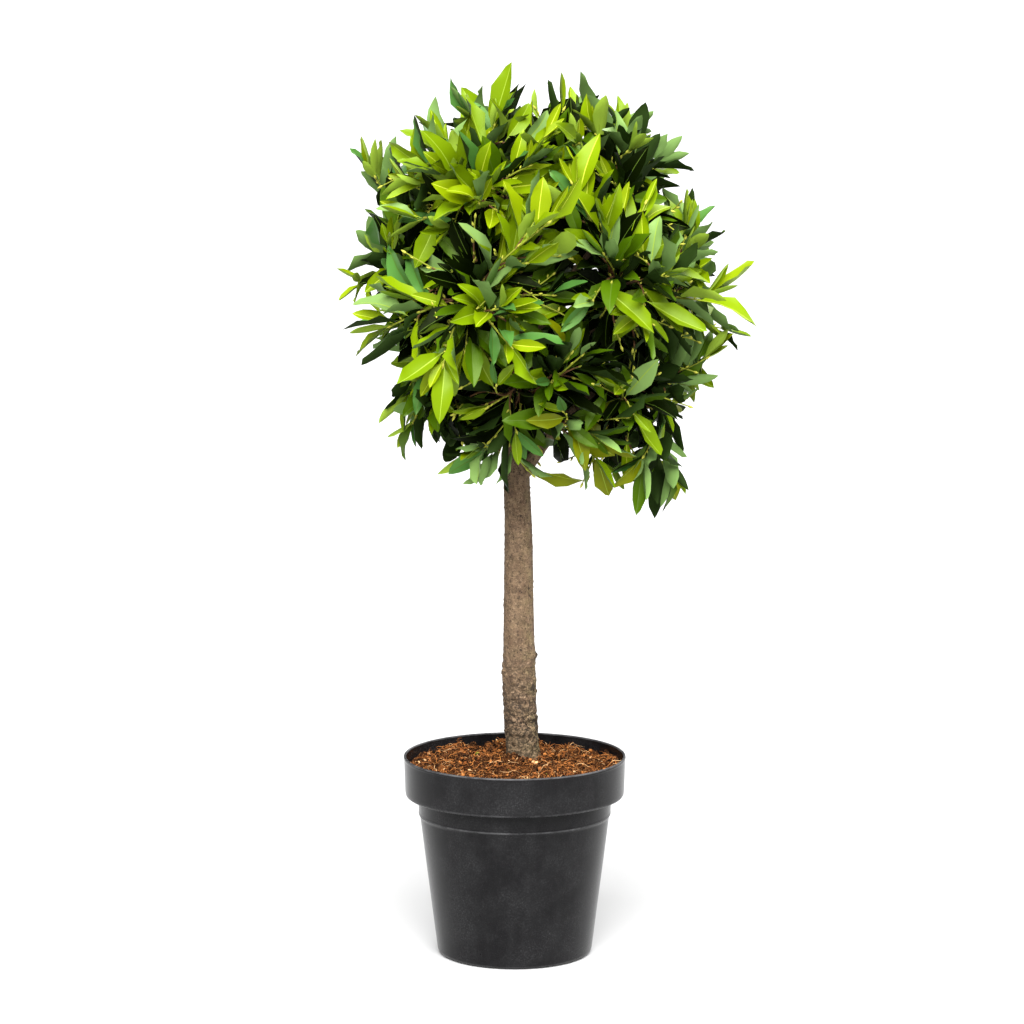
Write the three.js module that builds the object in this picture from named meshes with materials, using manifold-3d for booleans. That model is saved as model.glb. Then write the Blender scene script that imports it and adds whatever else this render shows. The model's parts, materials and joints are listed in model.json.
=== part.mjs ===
/**
 * Standard bay topiary growing in a round black nursery pot.
 *
 * Millimetres, +Z up. The origin is the centre of the pot's underside, and the
 * plant is usually looked at from the -Y side, with +X to the right.
 *
 * The pot and the soil are turned shapes. The trunk is one tapering solid from
 * the soil to the tip of its leader, the main boughs leave it round the fork and
 * up the leader, and the ball of foliage is built as thirteen masses. Each mass
 * keeps to its own share of the ball: a stem carries on from a bough, shoots
 * leave the stem for evenly spread places on the surface of the ball, and
 * leaves stand round each shoot in a spiral.
 */
import * as THREE from "three";
import { mergeVertices } from "three/addons/utils/BufferGeometryUtils.js";
import Module from "manifold-3d";

const wasm = await Module();
wasm.setup();

// ---------------------------------------------------------------- sizes (mm)

/** Space left between pieces that touch. */
const FIT_GAP = 0.3;
/** Edges shorter than this are closed up after joining and cutting, pass by pass. */
const SLIVERS = [0.05, 0.05, 0.08, 0.1, 0.15];
/** A solid has to stay closed when corners this close to each other are merged. */
const MERGE = 1e-3;

const POT = {
  height: 254,
  rimRadius: 140,
  collarHeight: 50,
  collarFootRadius: 138.4,
  collarRound: 4,
  bandRadius: 122.6,
  bandHeight: 24,
  ridgeRadius: 121.4,
  footRadius: 98,
  footBevel: 4,
  wall: 2.4,
  floor: 3,
  sides: 40,
};

const SOIL = {
  edgeHeight: 241,
  mound: 5,
  moundRadius: 46,
  sides: 28,
};

/** Trunk stations: height, centre x, centre y, radius. */
const TRUNK_STATIONS = [
  [246.3, 11, 0, 24],
  [258, 10.2, 0, 21.4],
  [300, 7.6, 0, 20.4],
  [345, 6, 0, 20.5],
  [385, 5.3, 0, 19.9],
  [450, 5, 1, 18.8],
  [520, 4.8, 1, 17.8],
  [565, 4, 2, 16.9],
  [612, 2.4, 2, 16.2],
  [650, 3.5, 2, 14.3],
  [720, 12, 3, 11.8],
  [800, 23, 2, 8.8],
  [880, 30, 0, 6],
];
const TRUNK_SIDES = 12;

/** Swellings on the bark: height, bearing in degrees, rise, half-width. */
const TRUNK_KNOTS = [
  [384, 345, 4.2, 11],
  [362, 190, 3.2, 10],
  [345, 285, 2.6, 12],
  [318, 250, 2.0, 10],
  [296, 30, 2.4, 14],
  [560, 265, 1.6, 9],
];

/** The ball of foliage: centre and how far leaf tips reach from it. */
const CROWN = {
  centre: new THREE.Vector3(32, 0, 848),
  reachSide: 258,
  reachUp: 284,
  reachDown: 276,
  heartRadius: 130,
};

/** Places where the ball bulges or falls in: bearing, elevation, lift, width. */
const CROWN_LOBES = [
  [350, -52, 0.2, 0.08],
  [182, 38, 0.05, 0.06],
  [182, -24, -0.16, 0.07],
  [5, 18, -0.11, 0.05],
  [0, -20, -0.1, 0.03],
  [180, 66, -0.07, 0.03],
  [270, -68, 0.06, 0.06],
  [180, -56, 0.05, 0.04],
  [95, -8, -0.05, 0.08],
  [255, 10, -0.03, 0.06],
];

/**
 * Masses of foliage: bearing and elevation from the crown's centre, and the
 * bough that carries each one, given by the height where it leaves the trunk
 * and its radii. The mass at the top stands on the tip of the leader.
 */
const MASSES = [
  { name: "lower_right", bearing: 346, elevation: -42, fork: 604, thick: 9.6, thin: 5.6 },
  { name: "lower_back", bearing: 74, elevation: -44, fork: 640, thick: 8.6, thin: 5.2 },
  { name: "lower_left", bearing: 168, elevation: -42, fork: 628, thick: 8.8, thin: 5.4 },
  { name: "lower_front", bearing: 256, elevation: -44, fork: 652, thick: 8.4, thin: 5.2 },
  { name: "middle_right", bearing: 22, elevation: 4, fork: 684, thick: 8, thin: 5 },
  { name: "middle_back", bearing: 94, elevation: 6, fork: 706, thick: 7.6, thin: 4.8 },
  { name: "middle_left", bearing: 166, elevation: 4, fork: 694, thick: 7.8, thin: 5 },
  { name: "middle_front_left", bearing: 238, elevation: 6, fork: 722, thick: 7.4, thin: 4.8 },
  { name: "middle_front_right", bearing: 310, elevation: 5, fork: 738, thick: 7.2, thin: 4.8 },
  { name: "upper_right", bearing: 350, elevation: 46, fork: 778, thick: 6.4, thin: 4.6 },
  { name: "upper_back", bearing: 112, elevation: 48, fork: 794, thick: 6.2, thin: 4.4 },
  { name: "upper_left", bearing: 228, elevation: 47, fork: 762, thick: 6.6, thin: 4.6 },
  { name: "top", bearing: 0, elevation: 90, fork: 0, thick: 0, thin: 0 },
];

/** A bough ends this deep in its mass's space, on the way to the mass's heart. */
const BOUGH_ENTRY = 10;
/** How high a bough climbs by the middle of its run, as a share of its rise. */
const BOUGH_CLIMB = 0.62;
const BOUGH_SIDES = 6;

const CORE = { radial: 62, across: 78, uneven: 0.1 };

const SHOOTS = {
  count: 114,
  footRadius: 2.8,
  tipRadius: 1.9,
  tipDepth: 50,
  uneven: 0.06,
  lowest: -0.96,
};

/**
 * Leaves: sizes, how far an angle may stray from a flat of the three-sided
 * shoot, and the changes of turn and opening tried when a leaf doesn't fit.
 */
const LEAF = {
  perShoot: 6,
  length: 84,
  width: 35,
  thick: 1.6,
  heel: 0.5,
  fold: 2.6,
  droop: 0.05,
  play: 0.18,
  tries: [
    [0, 0],
    [1, 0],
    [-1, 0],
    [0, 14],
    [1, 14],
    [-1, 14],
    [0, -14],
    [1, -14],
    [-1, -14],
  ],
};

const MATERIALS = {
  pot: { colour: 0x232425, roughness: 0.5 },
  soil: { colour: 0x6e3f22, roughness: 0.95 },
  bark: { colour: 0x85705c, roughness: 0.85 },
  leafLow: { colour: 0x35560f, roughness: 0.5 },
  leafMiddle: { colour: 0x4a7414, roughness: 0.48 },
  leafHigh: { colour: 0x6c981c, roughness: 0.46 },
};

const GOLDEN_ANGLE = Math.PI * (3 - Math.sqrt(5));
const UP = new THREE.Vector3(0, 0, 1);

// ------------------------------------------------------------------- helpers

/** Repeatable random numbers from 0 to 1 for a whole-number seed. */
function randomFrom(seed) {
  let state = seed >>> 0;
  return () => {
    state = (state + 0x6d2b79f5) >>> 0;
    let mixed = Math.imul(state ^ (state >>> 15), state | 1);
    mixed ^= mixed + Math.imul(mixed ^ (mixed >>> 7), mixed | 61);
    return ((mixed ^ (mixed >>> 14)) >>> 0) / 4294967296;
  };
}

/** Unit vector for a bearing round +Z from +X and an elevation, in degrees. */
function heading(bearing, elevation) {
  const turn = THREE.MathUtils.degToRad(bearing);
  const rise = THREE.MathUtils.degToRad(elevation);
  const flat = Math.cos(rise);
  return new THREE.Vector3(flat * Math.cos(turn), flat * Math.sin(turn), Math.sin(rise));
}

/** Two unit vectors square to a direction and to each other. */
function crossDirections(direction) {
  const helper = Math.abs(direction.z) < 0.95 ? UP : new THREE.Vector3(1, 0, 0);
  const side = new THREE.Vector3().crossVectors(direction, helper).normalize();
  const other = new THREE.Vector3().crossVectors(direction, side).normalize();
  return [side, other];
}

/** Value of one column of a station table at a height, on a smooth curve. */
function alongStations(stations, height, column) {
  const last = stations.length - 1;
  let index = 0;
  while (index < last - 1 && height > stations[index + 1][0]) {
    index += 1;
  }
  const slope = (at) => {
    const before = stations[Math.max(at - 1, 0)];
    const after = stations[Math.min(at + 1, last)];
    return (after[column] - before[column]) / (after[0] - before[0]);
  };
  const [from, to] = [stations[index], stations[index + 1]];
  const span = to[0] - from[0];
  const t = THREE.MathUtils.clamp((height - from[0]) / span, 0, 1);
  const t2 = t * t;
  const t3 = t2 * t;
  return (
    (2 * t3 - 3 * t2 + 1) * from[column] +
    (t3 - 2 * t2 + t) * span * slope(index) +
    (3 * t2 - 2 * t3) * to[column] +
    (t3 - t2) * span * slope(index + 1)
  );
}

/** Turns a closed three.js geometry into a solid that can be joined and cut. */
function solidOf(geometry, merge = 1e-4) {
  geometry.deleteAttribute("normal");
  geometry.deleteAttribute("uv");
  const merged = mergeVertices(geometry, merge);
  const mesh = new wasm.Mesh({
    numProp: 3,
    vertProperties: new Float32Array(merged.attributes.position.array),
    triVerts: new Uint32Array(merged.index.array),
  });
  return new wasm.Manifold(mesh);
}

/** Turns a solid back into a three.js geometry. */
function geometryOf(solid) {
  const mesh = solid.getMesh();
  const geometry = new THREE.BufferGeometry();
  geometry.setAttribute("position", new THREE.BufferAttribute(mesh.vertProperties, 3));
  geometry.setIndex(new THREE.BufferAttribute(mesh.triVerts, 1));
  geometry.computeVertexNormals();
  return geometry;
}

/** True when each edge still has just two faces once close corners are merged. */
function closesWhenMerged(solid) {
  const remade = geometryOf(solidOf(geometryOf(solid), MERGE)).deleteAttribute("normal");
  const index = mergeVertices(remade, 1e-4).index.array;
  const faces = new Map();
  for (let i = 0; i < index.length; i += 3) {
    const corners = Array.from(index.subarray(i, i + 3));
    if (new Set(corners).size < 3) {
      continue;
    }
    corners.forEach((corner, j) => {
      const next = corners[(j + 1) % 3];
      const edge = `${Math.min(corner, next)} ${Math.max(corner, next)}`;
      faces.set(edge, (faces.get(edge) ?? 0) + 1);
    });
  }
  return [...faces.values()].every((count) => count === 2);
}

/** The biggest connected piece, without slivers, scraps or sealed hollows. */
function mainPiece(solid) {
  let main = solid;
  for (const sliver of SLIVERS) {
    const pieces = main.asOriginal().simplify(sliver).decompose();
    pieces.sort((a, b) => b.volume() - a.volume());
    main = pieces[0];
    if (closesWhenMerged(main)) {
      break;
    }
  }
  return main;
}

function namedMesh(name, geometry, look) {
  const material = new THREE.MeshStandardMaterial({
    color: look.colour,
    roughness: look.roughness,
    metalness: 0,
  });
  material.name = `${name}_material`;
  const mesh = new THREE.Mesh(geometry, material);
  mesh.name = name;
  return mesh;
}

/**
 * A round or three-sided limb: a cylinder whose rings are moved on to a curve.
 * radiusAt takes the share of the way along it.
 */
function limbGeometry(pointAt, radiusAt, sides, rings) {
  const geometry = new THREE.CylinderGeometry(1, 1, 1, sides, rings);
  const position = geometry.attributes.position;
  for (let i = 0; i < position.count; i += 1) {
    const share = position.getY(i) + 0.5;
    const [x, z] = [position.getX(i), position.getZ(i)];
    const step = 1e-3;
    const here = pointAt(share);
    const tangent = pointAt(Math.min(share + step, 1)).sub(pointAt(Math.max(share - step, 0))).normalize();
    const [side, other] = crossDirections(tangent);
    const angle = Math.atan2(-z, x);
    const radius = Math.hypot(x, z) < 1e-6 ? 0 : radiusAt(share);
    here.addScaledVector(side, radius * Math.cos(angle));
    here.addScaledVector(other, radius * Math.sin(angle));
    position.setXYZ(i, here.x, here.y, here.z);
  }
  return geometry;
}

/** Point on a curve from start to end that sets off towards a guide point. */
function bend(start, guide, end, share) {
  const rest = 1 - share;
  return new THREE.Vector3()
    .addScaledVector(start, rest * rest)
    .addScaledVector(guide, 2 * rest * share)
    .addScaledVector(end, share * share);
}

// ----------------------------------------------------------------------- pot

function potOutline() {
  const collarFoot = POT.height - POT.collarHeight;
  const bandFoot = collarFoot - POT.bandHeight;
  const round = POT.collarRound;
  const outer = [
    [0, 0],
    [POT.footRadius - POT.footBevel, 0],
    [POT.footRadius, POT.footBevel],
    [POT.ridgeRadius - 1.6, bandFoot - 2.5],
    [POT.ridgeRadius, bandFoot],
    [POT.bandRadius, collarFoot],
    [POT.collarFootRadius - round, collarFoot],
    [POT.collarFootRadius - 1, collarFoot + 1.6],
    [POT.collarFootRadius, collarFoot + round],
    [POT.rimRadius, POT.height - 1.2],
    [POT.rimRadius - 0.8, POT.height],
  ];
  const inner = [
    [POT.rimRadius - POT.wall, POT.height],
    [POT.collarFootRadius - POT.wall, collarFoot + POT.wall + 1],
    [POT.bandRadius - POT.wall, collarFoot + POT.wall],
    [POT.ridgeRadius - POT.wall, bandFoot],
    [POT.footRadius - POT.wall, POT.floor],
    [0, POT.floor],
  ];
  return { outer, inner };
}

function buildPot() {
  const { outer, inner } = potOutline();
  const profile = [...outer, ...inner, outer[0]].map(([r, z]) => new THREE.Vector2(r, z));
  const geometry = new THREE.LatheGeometry(profile, POT.sides);
  geometry.rotateX(Math.PI / 2);
  return solidOf(geometry);
}

/** Soil filling the pot a fit gap inside its wall, mounded round the trunk. */
function buildSoil() {
  const { inner } = potOutline();
  const floor = [0, POT.floor + FIT_GAP];
  const wall = inner.slice(2, 5).reverse().map(([r, z]) => [r - FIT_GAP - 0.6, z + FIT_GAP]);
  const collarFoot = POT.height - POT.collarHeight;
  const top = [
    [POT.bandRadius - POT.wall - FIT_GAP - 0.6, collarFoot + POT.wall + FIT_GAP + 1.4],
    [POT.collarFootRadius - POT.wall - FIT_GAP - 0.8, collarFoot + POT.wall + FIT_GAP + 2.4],
    [POT.rimRadius - POT.wall - FIT_GAP - 1.4, SOIL.edgeHeight],
    [112, SOIL.edgeHeight + 1.2],
    [78, SOIL.edgeHeight + 2.2],
    [SOIL.moundRadius, SOIL.edgeHeight + SOIL.mound],
    [0, SOIL.edgeHeight + SOIL.mound],
  ];
  const profile = [floor, ...wall, ...top, floor].map(([r, z]) => new THREE.Vector2(r, z));
  const geometry = new THREE.LatheGeometry(profile, SOIL.sides);
  geometry.rotateX(Math.PI / 2);
  const random = randomFrom(41);
  const position = geometry.attributes.position;
  const rings = profile.length;
  for (let turn = 0; turn < SOIL.sides; turn += 1) {
    for (const ring of [rings - 6, rings - 5, rings - 4]) {
      const lift = (random() - 0.45) * 4;
      for (const at of turn === 0 ? [turn, SOIL.sides] : [turn]) {
        const i = at * rings + ring;
        position.setZ(i, position.getZ(i) + lift);
      }
    }
  }
  return solidOf(geometry);
}

// ------------------------------------------------------------ trunk and boughs

const TRUNK_FOOT = TRUNK_STATIONS[0][0];
const TRUNK_TIP = TRUNK_STATIONS[TRUNK_STATIONS.length - 1][0];

function trunkCentre(height) {
  const x = alongStations(TRUNK_STATIONS, height, 1);
  const y = alongStations(TRUNK_STATIONS, height, 2);
  return new THREE.Vector3(x, y, height);
}

function trunkRadius(height, angle) {
  let radius = alongStations(TRUNK_STATIONS, height, 3);
  for (const [at, bearing, rise, width] of TRUNK_KNOTS) {
    const turn = angle - THREE.MathUtils.degToRad(bearing);
    const round = (1 - Math.cos(turn)) * 3;
    radius += rise * Math.exp(-(((height - at) / width) ** 2) - round);
  }
  const flare = Math.max(0, 1 - (height - TRUNK_FOOT) / 26);
  return radius * (1 + 0.09 * flare * Math.cos(5 * angle + 0.6));
}

/** Rings of the trunk: close together on the knotted part of the bark. */
function trunkHeights(extra) {
  const heights = [TRUNK_FOOT - extra];
  for (let height = TRUNK_FOOT + 6; height < 276; height += 9) {
    heights.push(height);
  }
  for (let height = 284; height < 402; height += 12) {
    heights.push(height);
  }
  for (let height = 410; height < TRUNK_TIP - 30; height += 34) {
    heights.push(height);
  }
  heights.push(TRUNK_TIP + extra);
  return heights;
}

/** The trunk, or the same shape grown all round to cut clearance with. */
function buildTrunk(grow) {
  const heights = trunkHeights(grow);
  const rings = heights.length - 1;
  const geometry = new THREE.CylinderGeometry(1, 1, 1, TRUNK_SIDES, rings);
  const position = geometry.attributes.position;
  for (let i = 0; i < position.count; i += 1) {
    const height = heights[Math.round((position.getY(i) + 0.5) * rings)];
    const [x, z] = [position.getX(i), -position.getZ(i)];
    const angle = Math.atan2(z, x);
    const radius = Math.hypot(x, z) < 1e-6 ? 0 : trunkRadius(height, angle) + grow * 1.05;
    const centre = trunkCentre(height);
    position.setXYZ(i, centre.x + radius * Math.cos(angle), centre.y + radius * Math.sin(angle), height);
  }
  return solidOf(geometry);
}

const HEARTS = MASSES.map(({ bearing, elevation }) =>
  heading(bearing, elevation).multiplyScalar(CROWN.heartRadius).add(CROWN.centre),
);

/** Distance from a point into a mass's own space, measured to its nearest side. */
function depthInSpace(index, point) {
  const own = HEARTS[index];
  let depth = Infinity;
  HEARTS.forEach((other, at) => {
    if (at !== index) {
      const gap = point.distanceToSquared(other) - point.distanceToSquared(own);
      depth = Math.min(depth, gap / (2 * own.distanceTo(other)));
    }
  });
  return depth;
}

/** Curve of a bough from the middle of the trunk out to where its mass begins. */
function boughCurve(mass) {
  const index = MASSES.indexOf(mass);
  const start = trunkCentre(mass.fork);
  let share = 0.6;
  while (share < 0.9 && depthInSpace(index, start.clone().lerp(HEARTS[index], share)) < BOUGH_ENTRY) {
    share += 0.05;
  }
  const end = start.clone().lerp(HEARTS[index], share);
  const guide = start.clone().lerp(end, 0.5);
  guide.z = THREE.MathUtils.lerp(start.z, end.z, BOUGH_CLIMB);
  return (share) => bend(start, guide, end, share);
}

function boughRadius(mass, share) {
  return THREE.MathUtils.lerp(mass.thick, mass.thin, share);
}

/** A bough, or the same limb grown all round to cut clearance with. */
function buildBough(mass, grow) {
  const curve = boughCurve(mass);
  const length = curve(0).distanceTo(curve(1));
  const pointAt = (share) => {
    const point = curve(share);
    if (share === 1 && grow > 0) {
      point.addScaledVector(curve(1).sub(curve(0.98)).normalize(), grow);
    }
    return point;
  };
  const radiusAt = (share) => boughRadius(mass, share) * (1 + 0.2 * Math.exp(-share * length * 0.08)) + grow * 1.08;
  return solidOf(limbGeometry(pointAt, radiusAt, BOUGH_SIDES, 3));
}

// ------------------------------------------------------------ masses of leaves

/** Limbs as runs of points with radii, for keeping twigs and leaves clear. */
const LIMBS = [
  Array.from({ length: 24 }, (_, i) => {
    const height = THREE.MathUtils.lerp(560, TRUNK_TIP, i / 23);
    return { point: trunkCentre(height), radius: alongStations(TRUNK_STATIONS, height, 3) };
  }),
  ...MASSES.filter((mass) => mass.fork > 0).map((mass) => {
    const curve = boughCurve(mass);
    return Array.from({ length: 9 }, (_, i) => ({
      point: curve(i / 8),
      radius: boughRadius(mass, i / 8),
    }));
  }),
];

/** Least distance between two straight runs, a-b and c-d. */
function runDistance(a, b, c, d) {
  const u = b.clone().sub(a);
  const v = d.clone().sub(c);
  const w = a.clone().sub(c);
  const [uu, uv, vv, uw, vw] = [u.dot(u), u.dot(v), v.dot(v), u.dot(w), v.dot(w)];
  const flat = uu * vv - uv * uv;
  let s = flat > 1e-9 ? THREE.MathUtils.clamp((uv * vw - vv * uw) / flat, 0, 1) : 0;
  let t = THREE.MathUtils.clamp((uv * s + vw) / vv, 0, 1);
  s = THREE.MathUtils.clamp((uv * t - uw) / uu, 0, 1);
  t = THREE.MathUtils.clamp((uv * s + vw) / vv, 0, 1);
  return a.clone().addScaledVector(u, s).distanceTo(c.clone().addScaledVector(v, t));
}

/** True when a straight run keeps a clearance from every limb. */
function clearOfLimbs(from, to, clearance) {
  for (const limb of LIMBS) {
    for (let i = 0; i + 1 < limb.length; i += 1) {
      const reach = Math.max(limb[i].radius, limb[i + 1].radius) + clearance;
      if (runDistance(from, to, limb[i].point, limb[i + 1].point) < reach) {
        return false;
      }
    }
  }
  return true;
}

/** How far leaf tips reach from the crown's centre in a direction. */
function crownReach(direction) {
  const flat = Math.hypot(direction.x, direction.y) / CROWN.reachSide;
  const tall = direction.z / (direction.z > 0 ? CROWN.reachUp : CROWN.reachDown);
  let reach = 1 / Math.hypot(flat, tall);
  for (const [bearing, elevation, lift, width] of CROWN_LOBES) {
    const away = 1 - direction.dot(heading(bearing, elevation));
    reach *= 1 + lift * Math.exp(-away / width);
  }
  return reach;
}

/** Stem of a mass, from just inside its limb's tip to the foot of its shoots. */
function stemCurve(index) {
  const mass = MASSES[index];
  const axis = heading(mass.bearing, mass.elevation);
  const onBough = mass.fork > 0;
  const curve = onBough ? boughCurve(mass) : (share) => trunkCentre(TRUNK_TIP - 30 * (1 - share));
  const tip = curve(1);
  const along = tip.clone().sub(curve(0.97)).normalize();
  const start = tip.clone().addScaledVector(along, -2);
  const end = axis.clone().multiplyScalar(CROWN.heartRadius * (onBough ? 1.12 : 0.95)).add(CROWN.centre);
  const guide = tip.clone().addScaledVector(along, tip.distanceTo(end) * 0.4);
  return {
    radius: (onBough ? mass.thin : 6) - 0.6,
    pointAt: (share) => bend(start, guide, end, share),
  };
}

/** Directions spread evenly over the ball, each one given to a mass. */
function shootDirections() {
  const random = randomFrom(7);
  const shares = MASSES.map(() => []);
  for (let i = 0; i < SHOOTS.count; i += 1) {
    const z = 1 - (2 * (i + 0.5)) / SHOOTS.count;
    const turn = i * GOLDEN_ANGLE + (random() - 0.5) * 0.25;
    const flat = Math.sqrt(1 - z * z);
    const direction = new THREE.Vector3(flat * Math.cos(turn), flat * Math.sin(turn), z);
    const stretch = 1 + (random() * 2 - 1) * SHOOTS.uneven;
    if (z < SHOOTS.lowest) {
      continue;
    }
    const reach = crownReach(direction) * stretch;
    const point = direction.clone().multiplyScalar(reach * 0.8).add(CROWN.centre);
    const depths = MASSES.map((_, index) => depthInSpace(index, point));
    const index = depths.indexOf(Math.max(...depths));
    shares[index].push({ direction, reach });
  }
  return shares;
}

/** One shoot: its curve from the stem to a little way inside the surface. */
function shootCurve(index, stem, { direction, reach }) {
  const mass = MASSES[index];
  const axis = heading(mass.bearing, mass.elevation);
  const spread = Math.acos(THREE.MathUtils.clamp(direction.dot(axis), -1, 1));
  const foot = stem.pointAt(THREE.MathUtils.clamp(1 - spread * 0.75, 0.3, 1));
  const end = direction.clone().multiplyScalar(reach - SHOOTS.tipDepth).add(CROWN.centre);
  const set = foot.clone().sub(CROWN.centre).normalize().add(axis).normalize();
  const guide = foot.clone().addScaledVector(set, foot.distanceTo(end) * 0.45);
  guide.z += 8;
  return (share) => bend(foot, guide, end, share);
}

/** True when a shoot stays in its mass's space and clear of the limbs. */
function shootFits(index, curve) {
  for (let i = 1; i <= 5; i += 1) {
    if (depthInSpace(index, curve(i / 5)) < SHOOTS.footRadius + FIT_GAP) {
      return false;
    }
    if (!clearOfLimbs(curve((i - 1) / 5 + 0.08), curve(i / 5), SHOOTS.footRadius + 1)) {
      return false;
    }
  }
  return true;
}

/** The chances of a shoot's leaves: how each one opens, turns, rolls and grows. */
function leafChances(random) {
  const phase = random() * 2 * Math.PI;
  return Array.from({ length: LEAF.perShoot }, (_, i) => ({
    back: i / (LEAF.perShoot - 1),
    turn: phase + i * GOLDEN_ANGLE,
    open: (random() - 0.5) * 16,
    size: 0.8 + 0.28 * random(),
    roll: (random() - 0.5) * 0.7,
  }));
}

/** Angle of the flat nearest to a place round a three-sided shoot, with some play. */
function flatNear(angle) {
  const third = (2 * Math.PI) / 3;
  const loose = angle - Math.PI / 2;
  return Math.PI / 2 + third * Math.round(loose / third) + LEAF.play * Math.sin(3 * loose);
}

/** Where a leaf stands on its shoot: the first at the tip, the rest in a spiral. */
function placeLeaf(curve, direction, chance, [flats, opening]) {
  const atTip = chance.back === 0;
  const share = 1 - 0.46 * chance.back;
  const root = curve(share);
  const tangent = curve(Math.min(share + 0.02, 1)).sub(curve(share - 0.02)).normalize();
  const [side, other] = crossDirections(tangent);
  const turn = flatNear(chance.turn) + (flats * 2 * Math.PI) / 3;
  const away = side.multiplyScalar(Math.cos(turn)).addScaledVector(other, Math.sin(turn));
  const open = THREE.MathUtils.degToRad((atTip ? 14 : 36 + 24 * chance.back + chance.open) + opening);
  const along = tangent.clone().multiplyScalar(Math.cos(open)).addScaledVector(away, Math.sin(open));
  along.z += direction.z > -0.25 ? 0.16 : -0.2;
  along.normalize();
  const face = tangent.clone().addScaledVector(along, -tangent.dot(along));
  face.addScaledVector(away, atTip ? 0.8 : -0.1).addScaledVector(UP, 0.25);
  face.addScaledVector(along, -face.dot(along)).normalize();
  const across = new THREE.Vector3().crossVectors(along, face);
  face.multiplyScalar(Math.cos(chance.roll)).addScaledVector(across, Math.sin(chance.roll));
  return { root, along, face, length: LEAF.length * chance.size * (atTip ? 0.92 : 1) };
}

/** The six corners of a leaf: a root in the shoot, a folded blade and a bent tip. */
function leafCorners({ root, along, face, length }) {
  const across = new THREE.Vector3().crossVectors(along, face).normalize();
  const at = (forward, sideways, rise) =>
    root
      .clone()
      .addScaledVector(along, forward)
      .addScaledVector(across, sideways)
      .addScaledVector(face, rise);
  const halfWidth = (LEAF.width * length) / LEAF.length / 2;
  const sag = length * LEAF.droop;
  return {
    heel: at(0, 0, LEAF.heel / 2),
    tip: at(length, 0, -sag),
    left: at(length * 0.46, -halfWidth, LEAF.fold),
    right: at(length * 0.46, halfWidth, LEAF.fold),
    rib: at(length * 0.5, 0, LEAF.thick - sag / 2),
    keel: at(0, 0, -LEAF.heel / 2),
  };
}

/** True when every corner of a leaf is in the space and no edge nears a limb. */
function leafFits(index, corners) {
  const points = Object.values(corners);
  if (points.some((point) => depthInSpace(index, point) < FIT_GAP)) {
    return false;
  }
  const { heel, tip, left, right } = corners;
  const start = heel.clone().lerp(tip, 0.1);
  const runs = [[start, tip], [left, right], [left, tip], [right, tip], [start, left], [start, right]];
  return runs.every(([from, to]) => clearOfLimbs(from, to, 3.5));
}

/** True when a straight run passes through a triangle. */
function runCrosses(from, to, [a, b, c]) {
  const run = to.clone().sub(from);
  const ab = b.clone().sub(a);
  const ac = c.clone().sub(a);
  const slant = run.clone().cross(ac);
  const size = ab.dot(slant);
  if (Math.abs(size) < 1e-9) {
    return false;
  }
  const away = from.clone().sub(a);
  const u = away.dot(slant) / size;
  const lean = away.cross(ab);
  const v = run.dot(lean) / size;
  const t = ac.dot(lean) / size;
  return u >= 0 && v >= 0 && u + v <= 1 && t >= 0 && t <= 1;
}

/** True when the blades of two leaves pass through each other. */
function bladesCross(one, two) {
  if (one.tip.distanceTo(two.tip) > 2.4 * LEAF.length) {
    return false;
  }
  const runs = ({ heel, tip, left, right }) => [
    [heel, tip],
    [heel, left],
    [left, tip],
    [heel, right],
    [right, tip],
  ];
  const halves = ({ heel, tip, left, right }) => [
    [heel, left, tip],
    [heel, tip, right],
  ];
  const through = (edges, blade) =>
    edges.some(([from, to]) => blade.some((half) => runCrosses(from, to, half)));
  return through(runs(one), halves(two)) || through(runs(two), halves(one));
}

/** A leaf's corners at the first place tried round its shoot that suits it. */
function settleLeaf(index, curve, direction, chance, placed) {
  for (const change of LEAF.tries) {
    const corners = leafCorners(placeLeaf(curve, direction, chance, change));
    if (leafFits(index, corners) && !placed.some((other) => bladesCross(corners, other))) {
      return corners;
    }
  }
  return null;
}

/** A leaf of eight faces: an octahedron with its corners moved to the leaf's. */
function leafSolid(corners) {
  const geometry = new THREE.OctahedronGeometry(1, 0);
  const position = geometry.attributes.position;
  for (let i = 0; i < position.count; i += 1) {
    const [x, y, z] = [position.getX(i), position.getY(i), position.getZ(i)];
    let corner = x > 0.5 ? corners.right : corners.left;
    if (Math.abs(y) > 0.5) {
      corner = y > 0 ? corners.tip : corners.heel;
    } else if (Math.abs(z) > 0.5) {
      corner = z > 0 ? corners.rib : corners.keel;
    }
    position.setXYZ(i, corner.x, corner.y, corner.z);
  }
  return solidOf(geometry);
}

/** Uneven rounded core of a mass, trimmed to the mass's own space. */
function coreSolid(index) {
  const random = randomFrom(900 + index);
  const mass = MASSES[index];
  const axis = heading(mass.bearing, mass.elevation);
  const geometry = mergeVertices(new THREE.IcosahedronGeometry(1, 1).deleteAttribute("normal").deleteAttribute("uv"));
  const position = geometry.attributes.position;
  for (let i = 0; i < position.count; i += 1) {
    const point = new THREE.Vector3().fromBufferAttribute(position, i);
    const forward = point.dot(axis);
    const stretch = 1 + (random() * 2 - 1) * CORE.uneven;
    const shift = axis.clone().multiplyScalar(forward * (CORE.radial - CORE.across));
    point.multiplyScalar(CORE.across).add(shift).multiplyScalar(stretch).add(HEARTS[index]);
    position.setXYZ(i, point.x, point.y, point.z);
  }
  let solid = solidOf(geometry);
  HEARTS.forEach((other, at) => {
    if (at !== index) {
      const normal = HEARTS[index].clone().sub(other).normalize();
      const middle = HEARTS[index].clone().add(other).multiplyScalar(0.5);
      solid = solid.trimByPlane(normal.toArray(), normal.dot(middle) + 1.5);
    }
  });
  return solid;
}

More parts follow.
